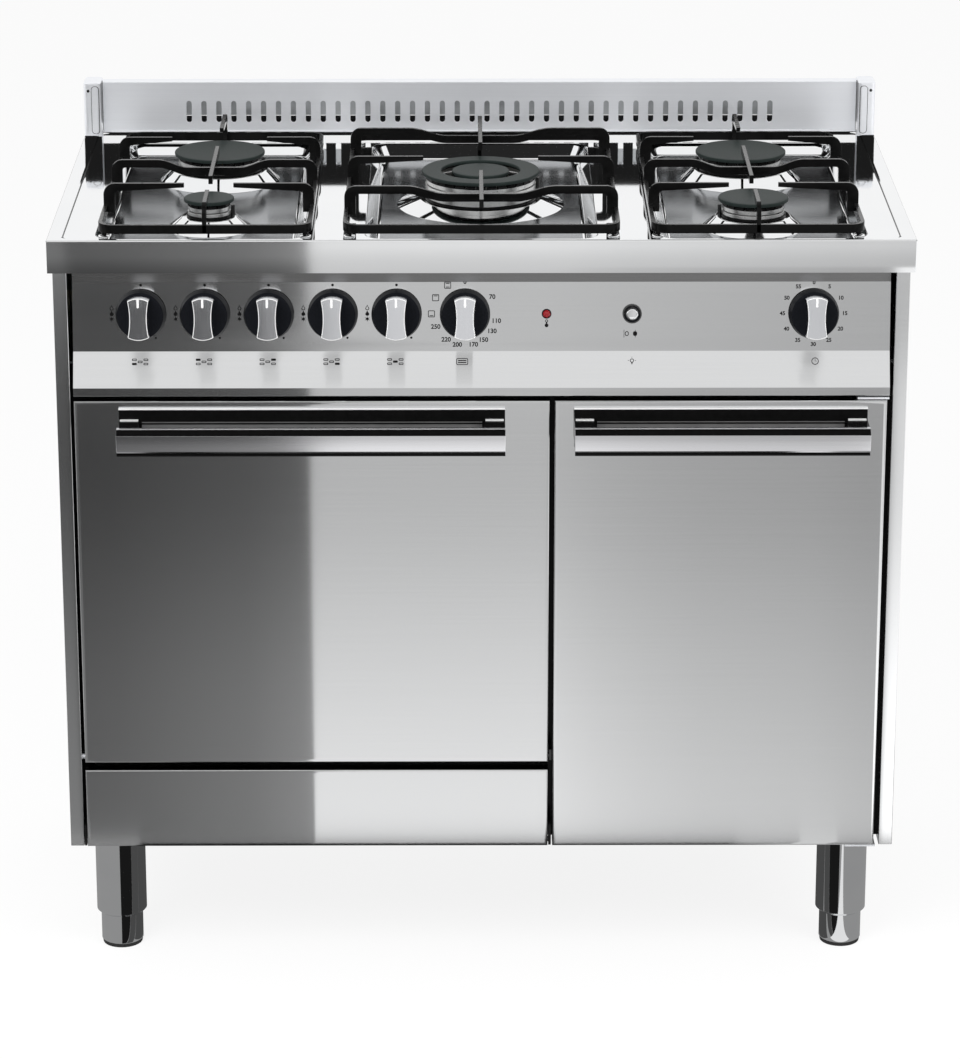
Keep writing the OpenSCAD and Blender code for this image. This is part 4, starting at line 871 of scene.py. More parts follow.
def bendLine(length, steps=8):
    # side view of a finger: up from the rail, round the bend and level to its tip
    s = supportSpec
    return ([(0, s["railLow"] + 0.7)] + arcPoints(s["bend"], s["pan"] - s["bend"], s["bend"], 180, 90, steps)
            + [(length, s["pan"]), (length, s["pan"] - s["tip"])]
            + arcPoints(s["post"] + s["crook"], s["pan"] - s["finger"] - s["crook"], s["crook"], 90, 180, 4)
            + [(s["post"], s["railLow"] + 0.7)])


def placeBar(bm, outline, x, d, turn):
    part = bmesh.new()
    half = supportSpec["bar"] / 2
    prism(part, outline, "y", -half, half)
    addPart(bm, part, Matrix.Translation((x, d, 0)) @ Matrix.Rotation(math.radians(turn), 4, "Z"))


def waveLine(width):
    s = supportSpec
    mid = width / 2
    a, b = mid * 0.45, mid * 0.75

    def dip(top):
        drops = [s["dip"] * (1 - math.cos(math.pi * k / 10)) / 2 for k in range(11)]
        return [(a + (b - a) * k / 10, top - drop) for k, drop in enumerate(drops)]

    upper = ([(0, s["railLow"] + 0.7)] + arcPoints(s["bend"], s["pan"] - s["bend"], s["bend"], 180, 90, 8)
             + dip(s["pan"]))
    lower = ([(s["post"], s["railLow"] + 0.7)]
             + arcPoints(s["post"] + s["crook"], s["pan"] - s["finger"] - s["crook"], s["crook"], 180, 90, 4)
             + dip(s["pan"] - s["finger"]))
    return (upper + [(width - u, v) for u, v in reversed(upper)]
            + [(width - u, v) for u, v in lower] + list(reversed(lower)))


def addFrame(bm, x0, x1):
    s = supportSpec
    c, foot, low, high = s["corner"], s["foot"], s["railLow"], s["railHigh"]
    rings = []
    for inset, z in ((0, low), (0, high), (s["bar"], high), (s["bar"], low)):
        rail = roundRect(x0 + inset, x1 - inset, s["front"] + inset, s["back"] - inset, c - inset, 8)
        rings.append(ringAt(rail, z))
    loft(bm, rings, around=True)
    pad = c - (c - s["bar"] / 2) * math.cos(math.radians(45))
    line = [(0, 0.05), (foot - 0.4, 0.05), (foot, 0.6), (foot - 0.6, 1.3), (2.8, 1.9), (2.6, low + 1),
            (0, low + 1)]
    for px in (x0 + pad, x1 - pad):
        for pd in (s["front"] + pad, s["back"] - pad):
            lathe(bm, line, (px, pd), 28)


def addBar(bm, x, d0, d1):
    # a low bar from front to back
    s = supportSpec
    block(bm, x - s["bar"] / 2, x + s["bar"] / 2, d0, d1, s["pan"] - s["dip"] - 0.5, s["pan"])


def makeSideSupport(x, name):
    s = supportSpec
    bm = bmesh.new()
    a, b = x - s["sideHalf"], x + s["sideHalf"]
    frontD, rearD = burners[0]["d"], burners[1]["d"]
    mid = (frontD + rearD) / 2
    addFrame(bm, a, b)
    placeBar(bm, waveLine(b - a), a, mid, 0)
    addBar(bm, x, mid - s["barFront"], mid + s["barBack"])
    placeBar(bm, bendLine(frontD - s["frontTip"] - s["front"]), x, s["front"], 90)
    placeBar(bm, bendLine(s["back"] - rearD - s["rearTip"]), x, s["back"], -90)
    for start, turn in ((a, 0), (b, 180)):
        placeBar(bm, bendLine(s["frontFinger"]), start, frontD, turn)
        placeBar(bm, bendLine(s["rearFinger"]), start, rearD, turn)
    return toPiece(bm, name, bevel=s["round"], segments=3, angle=40)


def makeCentreSupport():
    s = supportSpec
    bm = bmesh.new()
    d, half = burners[4]["d"], s["centreHalf"]
    addFrame(bm, -half, half)
    for side in (-1, 1):
        placeBar(bm, waveLine(2 * half), -half, d + side * s["wavesOut"], 0)
        mid = d + side * s["barsOut"]
        addBar(bm, 0, mid - s["barHalf"], mid + s["barHalf"])
        placeBar(bm, bendLine(s["centreFinger"]), side * half, d, 180 if side > 0 else 0)
    return toPiece(bm, "panSupportCentre", bevel=s["round"], segments=3, angle=40)


def dressSupport(obj, body):
    look = [finish["blackEnamel"], finish["upFacingEnamel"], finish["chrome"]]
    dress(obj, body, look, [body])
    paintFaces(obj, 2, lambda place, face: place.z < supportSpec["footTop"])
    # upward faces at the top take a greyer, metallic enamel
    paintFaces(obj, 1, lambda place, face: face.normal.z > 0.97 and place.z > supportSpec["railHigh"] - 1)


dressSupport(makeSideSupport(-supportSpec["sideX"], "panSupportLeft"), "pan_support_left")
dressSupport(makeSideSupport(supportSpec["sideX"], "panSupportRight"), "pan_support_right")
dressSupport(makeCentreSupport(), "pan_support_centre")
print("pan supports made")


# Doors and flap: pressed pans with rounded folds

doorSpec = {"edge": 1.6, "sheet": 1.5}


def makePan(node, name):
    a, b, d0, d1, z0, z1 = boxMm(node)
    bm = bmesh.new()
    t = doorSpec["sheet"]
    line = fillet([(4, d0), (0, d0), (0, d1), (t, d1), (t, d0 + t), (6, d0 + t)],
                  [0, doorSpec["edge"], 0.4, 0.4, 0.6, 0], 4)
    rings = [[(a + s, d, z0 + s), (b - s, d, z0 + s), (b - s, d, z1 - s), (a + s, d, z1 - s)]
             for s, d in line]
    loft(bm, rings, capStart=True, capEnd=True)
    return toPiece(bm, name)


for source, name, body in (("oven_door_skin", "ovenDoor", "oven_door"),
                           ("bottle_door_skin", "bottleDoor", "bottle_door"),
                           ("flap_panel", "flapPanel", "flap")):
    dress(makePan(source, name), body, finish["brushed"], [source])


# Handles: a faceted bar in front of a black channel

handleSpec = {
    "topFacet": 5.6, "lowFacet": 6.6, "bulge": 1.5, "bracket": 22, "lip": 3.6, "lipThick": 1.7,
    "groove": [(1.6, 4.6), (3.2, 4.4), (3.2, 3.2), (2.2, 2.6), (2.6, 0.8), (4.5, 0)],
    "channelDeep": 2, "ribLow": (1, 3), "ribHigh": (17.5, 16), "barLow": 4.5, "barHigh": 13,
    "plate": (13.6, 12), "band": (21.5, 15),
}


def makeBar(node, name):
    a, b, d0, d1, z0, z1 = boxMm(node)
    s = handleSpec
    high, low = z1 - s["topFacet"], z0 + s["lowFacet"]
    front = [(d0 + s["bulge"] * (k / 5) ** 2, high + (low - high) * k / 5) for k in range(6)]
    groove = [(d0 + s["bulge"] + u, z0 + v) for u, v in s["groove"]]
    line = fillet([(d0 + s["topFacet"], z1)] + front + groove + [(d1, z0), (d1, z1)],
                  [0.7, 0.5, 0, 0, 0, 0, 0.4, 0.2, 0.2, 0.2, 0.2, 0.5, 0.5, 0.8, 0.8], 4, closed=True)
    bm = bmesh.new()
    prism(bm, line, "x", a, b)
    return toPiece(bm, name, bevel=0.4, angle=50)


def dressBar(bar, node, body):
    # steel, with the groove and the strip below it painted black as shade, and the top's facet painted black
    # as a reflection of the dark above it
    dress(bar, body, [finish["handleSteel"], finish["blackEnamel"]], [node])
    _, _, _, d1, z0, z1 = boxMm(node)
    paintFaces(bar, 1, lambda place, face: place.y < d1 - 2 and (
        place.z < z0 + 5 or (z1 - handleSpec["topFacet"] < place.z < z1 - 1 and 0.3 < face.normal.z < 0.95)))


def makeChannel(node, name):
    a, b, d0, _, z0, z1 = boxMm(node)
    s = handleSpec
    face = -s["channelDeep"]
    bm = bmesh.new()
    block(bm, a, b, face, 0, z0, z1 - 0.2)
    block(bm, a + 0.6, b - 0.6, face - 1.2, face, z0 + s["ribLow"][0], z0 + s["ribLow"][1])
    block(bm, a + 0.6, b - 0.6, face - 1.4, face, z1 - s["ribHigh"][0], z1 - s["ribHigh"][1])
    for start in (a, b - s["bracket"]):
        block(bm, start, start + s["bracket"], d0, face, z0 + s["barLow"], z1 - s["barHigh"])
    return toPiece(bm, name, bevel=0.4)


def makeLip(node, name):
    # the chrome lip along the top, its front face painted pale as a highlight, with bracket plates painted
    # pale as highlights and a grey band between them painted as a reflection
    a, b, _, _, _, z1 = boxMm(node)
    s = handleSpec
    lip, low = s["lip"], z1 - s["lipThick"]
    bm = bmesh.new()
    line = [(-lip, low), (-lip, z1), (0, z1), (0, z1 - 0.9), (1 - lip, z1 - 0.9), (1 - lip, low)]
    prism(bm, fillet(line, [0.3, 0.5, 0, 0, 0.2, 0.2], 3, closed=True), "x", a, b)
    for start in (a + 1.5, b - s["bracket"] + 1.5):
        block(bm, start, start + s["bracket"] - 3, -7, -2.5, z1 - s["plate"][0], z1 - s["plate"][1])
    block(bm, a + s["bracket"] + 2, b - s["bracket"] - 2, -2.6, -1.9, z1 - s["band"][0], z1 - s["band"][1])
    return toPiece(bm, name, bevel=0.25)


for side, body in (("oven", "oven_door"), ("bottle", "bottle_door")):
    bar, channel = side + "_handle_bar", side + "_handle_channel"
    dressBar(makeBar(bar, side + "HandleBar"), bar, body)
    dress(makeChannel(channel, side + "HandleChannel"), body, finish["blackEnamel"],
          [channel])
    lip = dress(makeLip(channel, side + "HandleLip"), body,
                [finish["chrome"], finish["pointerPaleAndPaintedHighlight"], finish["paintedReflectionGrey"]])
    lipTop = boxMm(channel)[5]
    # painted highlights on the lip's front and the bracket plates, and a painted reflection on the grey band
    paintFaces(lip, 1, lambda place, face: place.z < lipTop - 11 or place.y < 0.4 - handleSpec["lip"])
    paintFaces(lip, 2, lambda place, face: place.z < lipTop - 14.5)
print("doors and handles made")


# Control panel, knobs, lamp and button

panelSpec = {"line": [(24, -34), (24, -50), (14, -122), (0, -158), (0, -167)], "half": 426.4, "fold": 0.5,
             "knobHole": 4.5, "pilotHole": 4.1, "buttonHole": 6.2}
faceTop, faceFoot, slantFoot = [Vector(point) for point in panelSpec["line"][1:4]]


def tiltOf(top, foot):
    # how far a slope of the panel leans back, from its side view
    return math.atan((top.x - foot.x) / (top.y - foot.y))


faceTilt, slantTilt = tiltOf(faceTop, faceFoot), tiltOf(faceFoot, slantFoot)
knobDrop = 83.12
knobDepth = faceTop.x - (knobDrop + faceTop.y) * math.tan(faceTilt)
knobNames = ["front_left", "rear_left", "rear_right", "front_right", "centre", "oven", "timer"]


def middle(node):
    low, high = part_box(node)
    return (low.x + high.x) / 2 / mm


def slopePlace(x, d, z, tilt):
    # a place on a slope, with Z out of it and Y up along it
    return hobPlace @ Matrix.Translation((x, d, z)) @ Matrix.Rotation(math.pi / 2 - tilt, 4, "X")


def facePlace(x):
    return slopePlace(x, knobDepth, -knobDrop, faceTilt)


knobSpec = {
    "gap": 3.5, "rim": 26.25, "front": 23.5, "face": 16.5, "gripHigh": 43.5, "gripHalf": 22, "waist": 9,
    "wide": 11, "notchWide": 2.4, "notchLong": 10, "bore": 3.2, "boreEnd": 17.5, "shaft": 3, "shaftBack": -24,
}
shaftKnobs = ("oven", "timer")


def makeSkirt(name, x):
    # a gas knob slides on its spindle in a bore; the other two have a shaft of their own
    s = knobSpec
    bm = bmesh.new()
    rim = [(s["rim"], s["gap"]), (s["rim"], s["gap"] + 1.4), (s["front"] + 0.5, s["face"]),
           (s["front"] - 1.5, s["face"])]
    if name in shaftKnobs:
        shaft = [(0, s["shaftBack"]), (s["shaft"], s["shaftBack"]), (s["shaft"], s["gap"])]
        line = shaft + rim + [(0, s["face"] - 0.4)]
        lathe(bm, fillet(line, [0, 0.4, 0, 0.5, 1.0, 1.2, 1.0, 0], 4), segs=96)
    else:
        line = [(s["bore"], s["gap"])] + rim + [(s["bore"], s["face"] - 0.4)]
        lathe(bm, fillet(line, [0, 0.5, 1.0, 1.2, 1.0, 0], 4), segs=96, around=True)
    return toPiece(bm, "knobSkirt_" + name, facePlace(x))


def gripOutline(shrink=0):
    s = knobSpec
    count = 14
    half = s["gripHalf"] - shrink
    wide, waist = s["wide"] - shrink, s["waist"] - shrink
    reach = math.degrees(math.asin(wide / half))
    top = math.sqrt(half ** 2 - wide ** 2)
    side = [(waist + (wide - waist) * t ** 2, top * t) for t in [2 * k / count - 1 for k in range(1, count)]]
    return (side + arcPoints(0, 0, half, 90 - reach, 90 + reach, 12) + [(-u, v) for u, v in reversed(side)]
            + arcPoints(0, 0, half, 270 - reach, 270 + reach, 12))


def makeGrip(name, x):
    # a waisted bar with a painted highlight round its top edge and a pale pointer set into its top
    s = knobSpec
    bm = bmesh.new()
    high = s["gripHigh"]
    rings = [(0, s["face"] - 0.6), (0, high - 0.9), (0.25, high - 0.3), (0.9, high)]
    made = loft(bm, [ringAt(gripOutline(shrink), z) for shrink, z in rings], capEnd=True)
    if name in shaftKnobs:
        bm.faces.new(made[0])
    else:
        hole = arcPoints(0, 0, s["bore"], 0, 350, 35)
        bore = loft(bm, [ringAt(hole, z) for z in (rings[0][1], s["boreEnd"])], capEnd=True)
        fillFlat(bm, [made[0], bore[0]])
    half = s["notchWide"] / 2
    top, low = s["gripHalf"] - 1.2, s["gripHalf"] - s["notchLong"]
    pointer = fillet([(-half, low), (half, low), (half, top), (-half, top)], [1, 1, 0.3, 0.3], 5, closed=True)
    prism(bm, pointer, "z", high - 0.2, high + 0.15)
    return toPiece(bm, "knobGrip_" + name, facePlace(x), angle=20)


def dressGrip(grip, name, x):
    look = [finish["knobSilver"], finish["pointerPaleAndPaintedHighlight"]]
    dress(grip, "knob_" + name, look, ["knob_grip_" + name])
    back = facePlace(x).inverted()
    high = knobSpec["gripHigh"]
    for face in grip.data.polygons:
        z = (back @ face.center).z
        # the top edge takes a painted highlight; the pointer is pale
        onPaintedHighlight, onPointer = high - 0.95 < z < high - 0.01, z > high + 0.02
        if onPaintedHighlight or onPointer:
            face.material_index = 1


pilotX, buttonX = middle("pilot_lamp"), middle("lamp_button")


def makePanel():
    s = panelSpec
    deep = (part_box("control_panel")[1].y - frontY) / mm
    top, foot = s["line"][0][1], s["line"][-1][1]
    line = fillet([(deep, top)] + s["line"] + [(deep, foot)], [0, 0.8] + [s["fold"]] * 3 + [0.8, 0], 4)
    bm = bmesh.new()
    prism(bm, line, "x", -s["half"], s["half"])
    bm.faces.ensure_lookup_table()
    back = [f for f in bm.faces if all(v.co.y > deep - 0.01 for v in f.verts)]
    bmesh.ops.delete(bm, geom=back, context="FACES_ONLY")
    sheet = max(bm.faces, key=lambda f: f.calc_area())
    rings = [[corner.vert for corner in sheet.loops]]
    bmesh.ops.delete(bm, geom=[sheet], context="FACES_ONLY")
    holes = [(middle("knob_skirt_" + name), s["knobHole"]) for name in knobNames]
    for x, r in holes + [(pilotX, s["pilotHole"]), (buttonX, s["buttonHole"])]:
        place = hobPlace.inverted() @ facePlace(x)
        ring = [bm.verts.new(place @ Vector((u, v, 0))) for u, v in arcPoints(0, 0, r, 0, 350, 35)]
        for a, b in zip(ring, ring[1:] + ring[:1]):
            bm.edges.new((a, b))
        rings.append(ring)
    fillFlat(bm, rings)
    return toPiece(bm, "controlPanel", solid=1.5, bevel=0.4, angle=60)


panel = dress(makePanel(), "cabinet", [finish["brushed"], finish["paintedShadeSteel"]],
              ["control_panel"])
# the strip under the apron is painted darker: a painted shade and reflection of the apron's underside
paintFaces(panel, 1, lambda place, face: place.z > -50)
for name in knobNames:
    x = middle("knob_skirt_" + name)
    dress(makeSkirt(name, x), "knob_" + name, finish["knobBlack"], ["knob_skirt_" + name])
    dressGrip(makeGrip(name, x), name, x)


def makeTurned(name, x, line, rounds, steps, segs, around=False):
    bm = bmesh.new()
    lathe(bm, fillet(line, rounds, steps, closed=around), segs=segs, around=around)
    return toPiece(bm, name, facePlace(x))


lens = makeTurned("pilotLens", pilotX, [(0, -2), (4, -2), (4, 1.4), (2.6, 3), (0, 3.6)],
                  [0, 0, 0.8, 1.4, 0], 4, 40)
dress(lens, "cabinet", finish["red"], ["pilot_lamp"])
ring = makeTurned("pilotRing", pilotX, [(4.06, -2), (5.1, 0.05), (5.1, 0.9), (4.06, 1.2)],
                  [0, 0, 0.3, 0.2], 3, 40, around=True)
dress(ring, "cabinet", finish["knobBlack"])
bezel = makeTurned("buttonBezel", buttonX, [(6.05, -3), (10, -3), (10, 2.2), (9, 3), (6.6, 3), (6.05, 2.4)],
                   [0, 0, 0.8, 0.8, 0.4, 0.3], 3, 64, around=True)
dress(bezel, "cabinet", finish["knobBlack"])
button = makeTurned("lampButton", buttonX, [(0, -12), (6, -12), (6, 4.4), (5, 5.2), (0, 4.7)],
                    [0, 0, 0.6, 1.2, 0], 4, 48)
dress(button, "lamp_button", finish["chrome"], ["lamp_button"])


# Printed marks

marksSpec = {
    "high": 4.7, "ring": 33.5, "thick": 0.05, "stroke": 0.75, "iconDrop": 10.9,
    "oven": [("0", 0), ("70", 58), ("110", 103), ("130", 123), ("150", 145), ("170", 165), ("200", 194),
             ("220", 216), ("250", 246)],
    "ovenIcons": [("low", 270), ("top", 299), ("both", 329)],
    "signsOut": 30.6, "spots": [(-6, -2.2), (-6, 2.2), (6, 2.2), (6, -2.2), (0, 0)],
    "burnerOrder": {"front_left": 0, "rear_left": 1, "rear_right": 2, "front_right": 3, "centre": 4},
}


def slantPlace(x):
    # a place for an icon on the lower slope
    along = marksSpec["iconDrop"]
    return slopePlace(x, faceFoot.x - along * math.sin(slantTilt), faceFoot.y - along * math.cos(slantTilt),
                      slantTilt)


def printed(bm, place, outlines):
    # lays down flat shapes: each is an outline, or an outer and an inner one for a line round a shape
    part = bmesh.new()
    low, high = 0.01, 0.01 + marksSpec["thick"]
    for outer, inner in outlines:
        if inner is None:
            prism(part, outer, "z", low, high)
        else:
            loft(part, [ringAt(ring, z) for ring, z in
                        ((outer, low), (outer, high), (inner, high), (inner, low))], around=True)
    addPart(bm, part, place)


def frameShape(x0, x1, y0, y1, r):
    t = marksSpec["stroke"]
    return (roundRect(x0, x1, y0, y1, r, 4), roundRect(x0 + t, x1 - t, y0 + t, y1 - t, r - t * 0.7, 4))


def discShape(x, y, r):
    return (arcPoints(x, y, r, 0, 340, 17), None)


def ringShape(x, y, r):
    t = marksSpec["stroke"]
    return (arcPoints(x, y, r, 0, 350, 35), arcPoints(x, y, r - t, 0, 350, 35))


def boxShape(x0, x1, y0, y1):
    return ([(x0, y0), (x1, y0), (x1, y1), (x0, y1)], None)


def flameShape(x, y, size, hollow):
    right = [(0, -1), (0.5, -0.85), (0.72, -0.45), (0.6, 0), (0.3, 0.4), (0, 1)]
    both = right + [(-u, v) for u, v in reversed(right[1:-1])]
    outer = [(x + u * size, y + v * size) for u, v in both]
    inner = [(x + u * size * 0.62, y - size * 0.08 + v * size * 0.66) for u, v in both]
    return (outer, inner if hollow else None)


def starShape(x, y, size):
    points = [(size * (1 if k % 2 == 0 else 0.38), math.pi * k / 6) for k in range(12)]
    return ([(x + r * math.sin(turn), y + r * math.cos(turn)) for r, turn in points], None)


def addText(bm, text, place, high):
    data = bpy.data.curves.new("mark", "FONT")
    data.body = text
    data.size = high * 1.4
    data.align_x = data.align_y = "CENTER"
    data.extrude = 0.03
    data.offset = 0.19
    words = addObject("mark", data)
    mesh = bakedMesh(words)
    bpy.data.objects.remove(words)
    addMesh(bm, mesh, place)


def dialPlace(x, degrees, radius):
    turn = math.radians(degrees)
    return facePlace(x) @ Matrix.Translation((radius * math.sin(turn), radius * math.cos(turn), 0.04))


def addBurnerMarks(bm, name):
    # off, low and flame signs round a gas knob, and the plan of the hob with its burner filled in
    s = marksSpec
    x, left = middle("knob_skirt_" + name), -s["signsOut"]
    printed(bm, facePlace(x), [discShape(0, 30.4, 1.4), discShape(15.2, -25, 1.2),
                               flameShape(left, 6.8, 2.9, True), flameShape(left, 0.9, 2.9, False),
                               starShape(left, -5.2, 3)])
    shapes = []
    for k, (u, v) in enumerate(s["spots"]):
        edge = frameShape(u - 2.5, u + 2.5, v - 1.2, v + 1.2, 0.8)
        shapes.append((edge[0], None) if k == s["burnerOrder"][name] else edge)
    printed(bm, slantPlace(x - 1.5), shapes)


def makeMarks():
    s = marksSpec
    bm = bmesh.new()
    for name in knobNames[:5]:
        addBurnerMarks(bm, name)
    oven, timer = middle("knob_skirt_oven"), middle("knob_skirt_timer")
    for text, turn in s["oven"]:
        addText(bm, text, dialPlace(oven, turn, s["ring"]), s["high"])
    for kind, turn in s["ovenIcons"]:
        shapes = [frameShape(-3.6, 3.6, -3.6, 3.6, 1.0)]
        if kind in ("low", "both"):
            shapes.append(boxShape(-2, 2, -2.3, -1.5))
        if kind in ("top", "both"):
            shapes.append(boxShape(-2, 2, 1.5, 2.3))
        printed(bm, dialPlace(oven, turn, s["ring"] + 1.5), shapes)
    printed(bm, slantPlace(oven - 3), [frameShape(-6.2, 6.2, -3.6, 3.6, 1.6), boxShape(-4.4, 4.4, 0.5, 1.6),
                                      boxShape(-4.4, 4.4, -1.6, -0.5)])
    for k in range(12):
        addText(bm, str(5 * k), dialPlace(timer, 30 * k, s["ring"] - 1), s["high"] * 0.86)
    printed(bm, slantPlace(timer + 2), [ringShape(0, 0, 3.8), boxShape(-0.2, 0.2, 0, 2.7),
                                        boxShape(0, 1.9, -0.2, 0.2)])
    printed(bm, slantPlace(buttonX), [ringShape(0, 0.8, 2.1), boxShape(-0.8, 0.8, -2.4, -1.3),
                                      boxShape(-0.5, 0.5, -3.2, -2.7), boxShape(-0.25, 0.25, 3.6, 4.8),
                                      boxShape(-4.2, -3, 0.6, 1.1), boxShape(3, 4.2, 0.6, 1.1)])
    printed(bm, facePlace(pilotX), [ringShape(0, -7.6, 1.6), boxShape(-0.7, 0.7, -11, -8.6),
                                    discShape(0, -12.2, 2)])
    printed(bm, facePlace(buttonX), [boxShape(-8.6, -8.1, -25, -17), boxShape(3.2, 3.7, -25, -17),
                                     frameShape(-7.4, -3.4, -23.5, -18.5, 1.9),
                                     (roundRect(1.0, 5.4, -23.5, -18.5, 1.9, 4), None)])
    return toPiece(bm, "panelMarks", Matrix.Identity(4))


dress(makeMarks(), "cabinet", finish["ink"])
print("control panel made")


# Legs: chrome sleeves over levelling feet with rubber pads

legSpec = {"x": 398.5, "front": 85, "back": 434, "sleeve": 27.5, "foot": 23, "pad": 22, "padHigh": 4,
           "chamfer": 3, "sleeveLow": 38}
floorZ = -hobZ / mm


def makeLegs():
    s = legSpec
    top, low = boxMm("leg_sleeves")[5], floorZ + s["sleeveLow"]
    sleeves, feet, pads = bmesh.new(), bmesh.new(), bmesh.new()
    bore, sleeve, chamfer = s["foot"] + 0.3, s["sleeve"], s["chamfer"]
    tube = fillet([(bore, low), (sleeve - chamfer, low), (sleeve, low + chamfer), (sleeve, top), (bore, top)],
                  [0.3, 0.6, 0.8, 0, 0], 3, closed=True)
    foot = fillet([(0, floorZ + 3.9), (s["foot"] - 1.2, floorZ + 3.9), (s["foot"], floorZ + 5.4),
                   (s["foot"], low + 20), (0, low + 20)], [0, 0.4, 0.6, 0.5, 0], 3)
    pad = fillet([(0, floorZ), (s["pad"] - 0.4, floorZ), (s["pad"] + 0.3, floorZ + s["padHigh"]),
                  (0, floorZ + s["padHigh"])], [0, 0.8, 0.6, 0], 3)
    for x in (-s["x"], s["x"]):
        for d in (s["front"], s["back"]):
            lathe(sleeves, tube, (x, d), 96, around=True)
            lathe(feet, foot, (x, d), 96)
            lathe(pads, pad, (x, d), 72)
    return toPiece(sleeves, "legSleeves"), toPiece(feet, "levellingFeet"), toPiece(pads, "footPads")


sleeves, feet, pads = makeLegs()
dress(sleeves, "cabinet", finish["chrome"], ["leg_sleeves"])
dress(feet, "cabinet", finish["chrome"], ["levelling_feet"])
dress(pads, "cabinet", finish["rubber"])
print("legs made")


# Cabinet sheets, oven and inner works, softened copies of their CAD nodes

copies = [
    ("side_panel_left", "sidePanelLeft", "brushed", "brushed_steel", 0.5),
    ("side_panel_right", "sidePanelRight", "brushed", "brushed_steel", 0.5),
    ("back_panel", "backPanel", "zinc", "galvanised", 0.4),
    ("base_panel", "basePanel", "zinc", "galvanised", 0.4),
    ("centre_partition", "centrePartition", "zinc", "galvanised", 0.4),
    ("oven_cavity", "ovenCavity", "ovenEnamel", "vitreous_enamel", 0.5),
    ("drip_tray", "dripTray", "ovenEnamel", "vitreous_enamel", 0.5),
    ("oven_door_liner", "doorLiner", "ovenEnamel", "vitreous_enamel", 0.5),
    ("oven_door_seal", "doorSeal", "rubber", "seal_rubber", 0.6),
    ("oven_lamp", "ovenLamp", "glass", "lamp_glass", 1.2),
    ("gas_taps", "gasTaps", "brass", "brass", 0.8),
    ("hinge_pins", "hingePins", "satin", None, 0.3),
]
for source, name, look, slot, soft in copies:
    body = frame["nodes"][source]["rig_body"]
    dress(copyNode(source, name, bevel=soft), body, finish[look], [source])

frontFrame = dress(copyNode("front_frame", "frontFrame", flatAngle=0, bevel=0.4), "cabinet",
                   [finish["zinc"], finish["blackEnamel"]], ["front_frame"])
paintFaces(frontFrame, 1, lambda place, face: face.normal.y < -0.9)  # its front is painted black: a painted shade seen through the gaps round the doors

flapLeft, flapRight, _, _, footZ, _ = boxMm("flap_panel")
bottleX = boxMm("bottle_door_skin")[0]
gapShadeSpec = {"front": 1.5, "back": 21, "low": 0.5, "high": 24}


def makeGapShadeStrips():
    # black strips, a painted shade, at the foot of the gaps on both sides of the flap, clear of what swings
    # past
    s = gapShadeSpec
    bm = bmesh.new()
    for a, b in ((flapLeft - 3.1, flapLeft - 0.6), (flapRight + 0.7, bottleX - 1.5)):
        block(bm, a, b, s["front"], s["back"], footZ + s["low"], footZ + s["high"])
    return toPiece(bm, "gapShadeStrips")


dress(makeGapShadeStrips(), "cabinet", finish["blackEnamel"])
pins = bpy.data.objects["hingePins"]
pins.data.materials.append(finish["darkSteelAndPaintedShade"])
paintFaces(pins, 1, lambda place, face: abs(place.x - flapRight) < 10)  # painted dark where the middle gap shows them: a painted shade

carried = {"oven_insulation": "wool", "rack_ladders": "chrome", "oven_shelf": "chrome",
           "heating_elements": "element", "gas_rail": "satin", "electrodes": "darkSteelAndPaintedShade",
           "control_switches": "plastic"}
for source, obj in frame["nodes"].items():
    if source in carried or source.startswith("spindle_"):
        obj.data.materials.clear()
        obj.data.materials.append(finish[carried.get(source, "satin")])
print("cabinet and inner works made")


# Camera, floor, lamps and the studio cards that the metal reflects

cameraSpec = {"x": -20.8, "away": 4200, "up": 1090.7, "pitch": 18.49, "yaw": -0.26, "focalPx": 4194.4,
              "framePx": 1059}


def makeCamera():
    data = bpy.data.cameras.new("camera")
    camera = addObject("camera", data)
    s = cameraSpec
    camera.location = hobPlace @ Vector((s["x"], -s["away"], s["up"]))
    camera.rotation_euler = (math.radians(90 - s["pitch"]), 0, math.radians(s["yaw"]))
    data.sensor_width = 36
    data.lens = s["focalPx"] / s["framePx"] * data.sensor_width
    scene.camera = camera


def mathOf(tree, operation, *values):
    made = node(tree, "ShaderNodeMath", operation=operation)
    for k, value in enumerate(values):
        if isinstance(value, (int, float)):
            made.inputs[k].default_value = value
        else:
            tree.links.new(value, made.inputs[k])
    return made.outputs[0]


def brightMix(tree, seen, other):
    # one value for camera, mirror and see-through rays, another for the rest
    rays = node(tree, "ShaderNodeLightPath").outputs
    direct = mathOf(tree, "MAXIMUM", rays["Is Camera Ray"], rays["Is Glossy Ray"])
    direct = mathOf(tree, "MAXIMUM", direct, rays["Is Transmission Ray"])
    mix = node(tree, "ShaderNodeMix", {2: other, 3: seen}, data_type="FLOAT")
    tree.links.new(direct, mix.inputs[0])
    return mix.outputs[0]


def makeWorld():
    world = bpy.data.worlds.new("studio")
    scene.world = world
    world.use_nodes = True
    tree = world.node_tree
    light = tree.nodes["Background"]
    light.inputs["Color"].default_value = rgb(1)
    tree.links.new(brightMix(tree, 1.0, 0.6), light.inputs["Strength"])


def newSurface(name):
    material = bpy.data.materials.new(name)
    material.use_nodes = True
    tree = material.node_tree
    tree.nodes.clear()
    return material, tree, node(tree, "ShaderNodeOutputMaterial").inputs["Surface"]


def mixShaders(tree, factor, first, second):
    mix = node(tree, "ShaderNodeMixShader")
    for k, socket in enumerate((factor, first.outputs[0], second.outputs[0])):
        tree.links.new(socket, mix.inputs[k])
    return mix


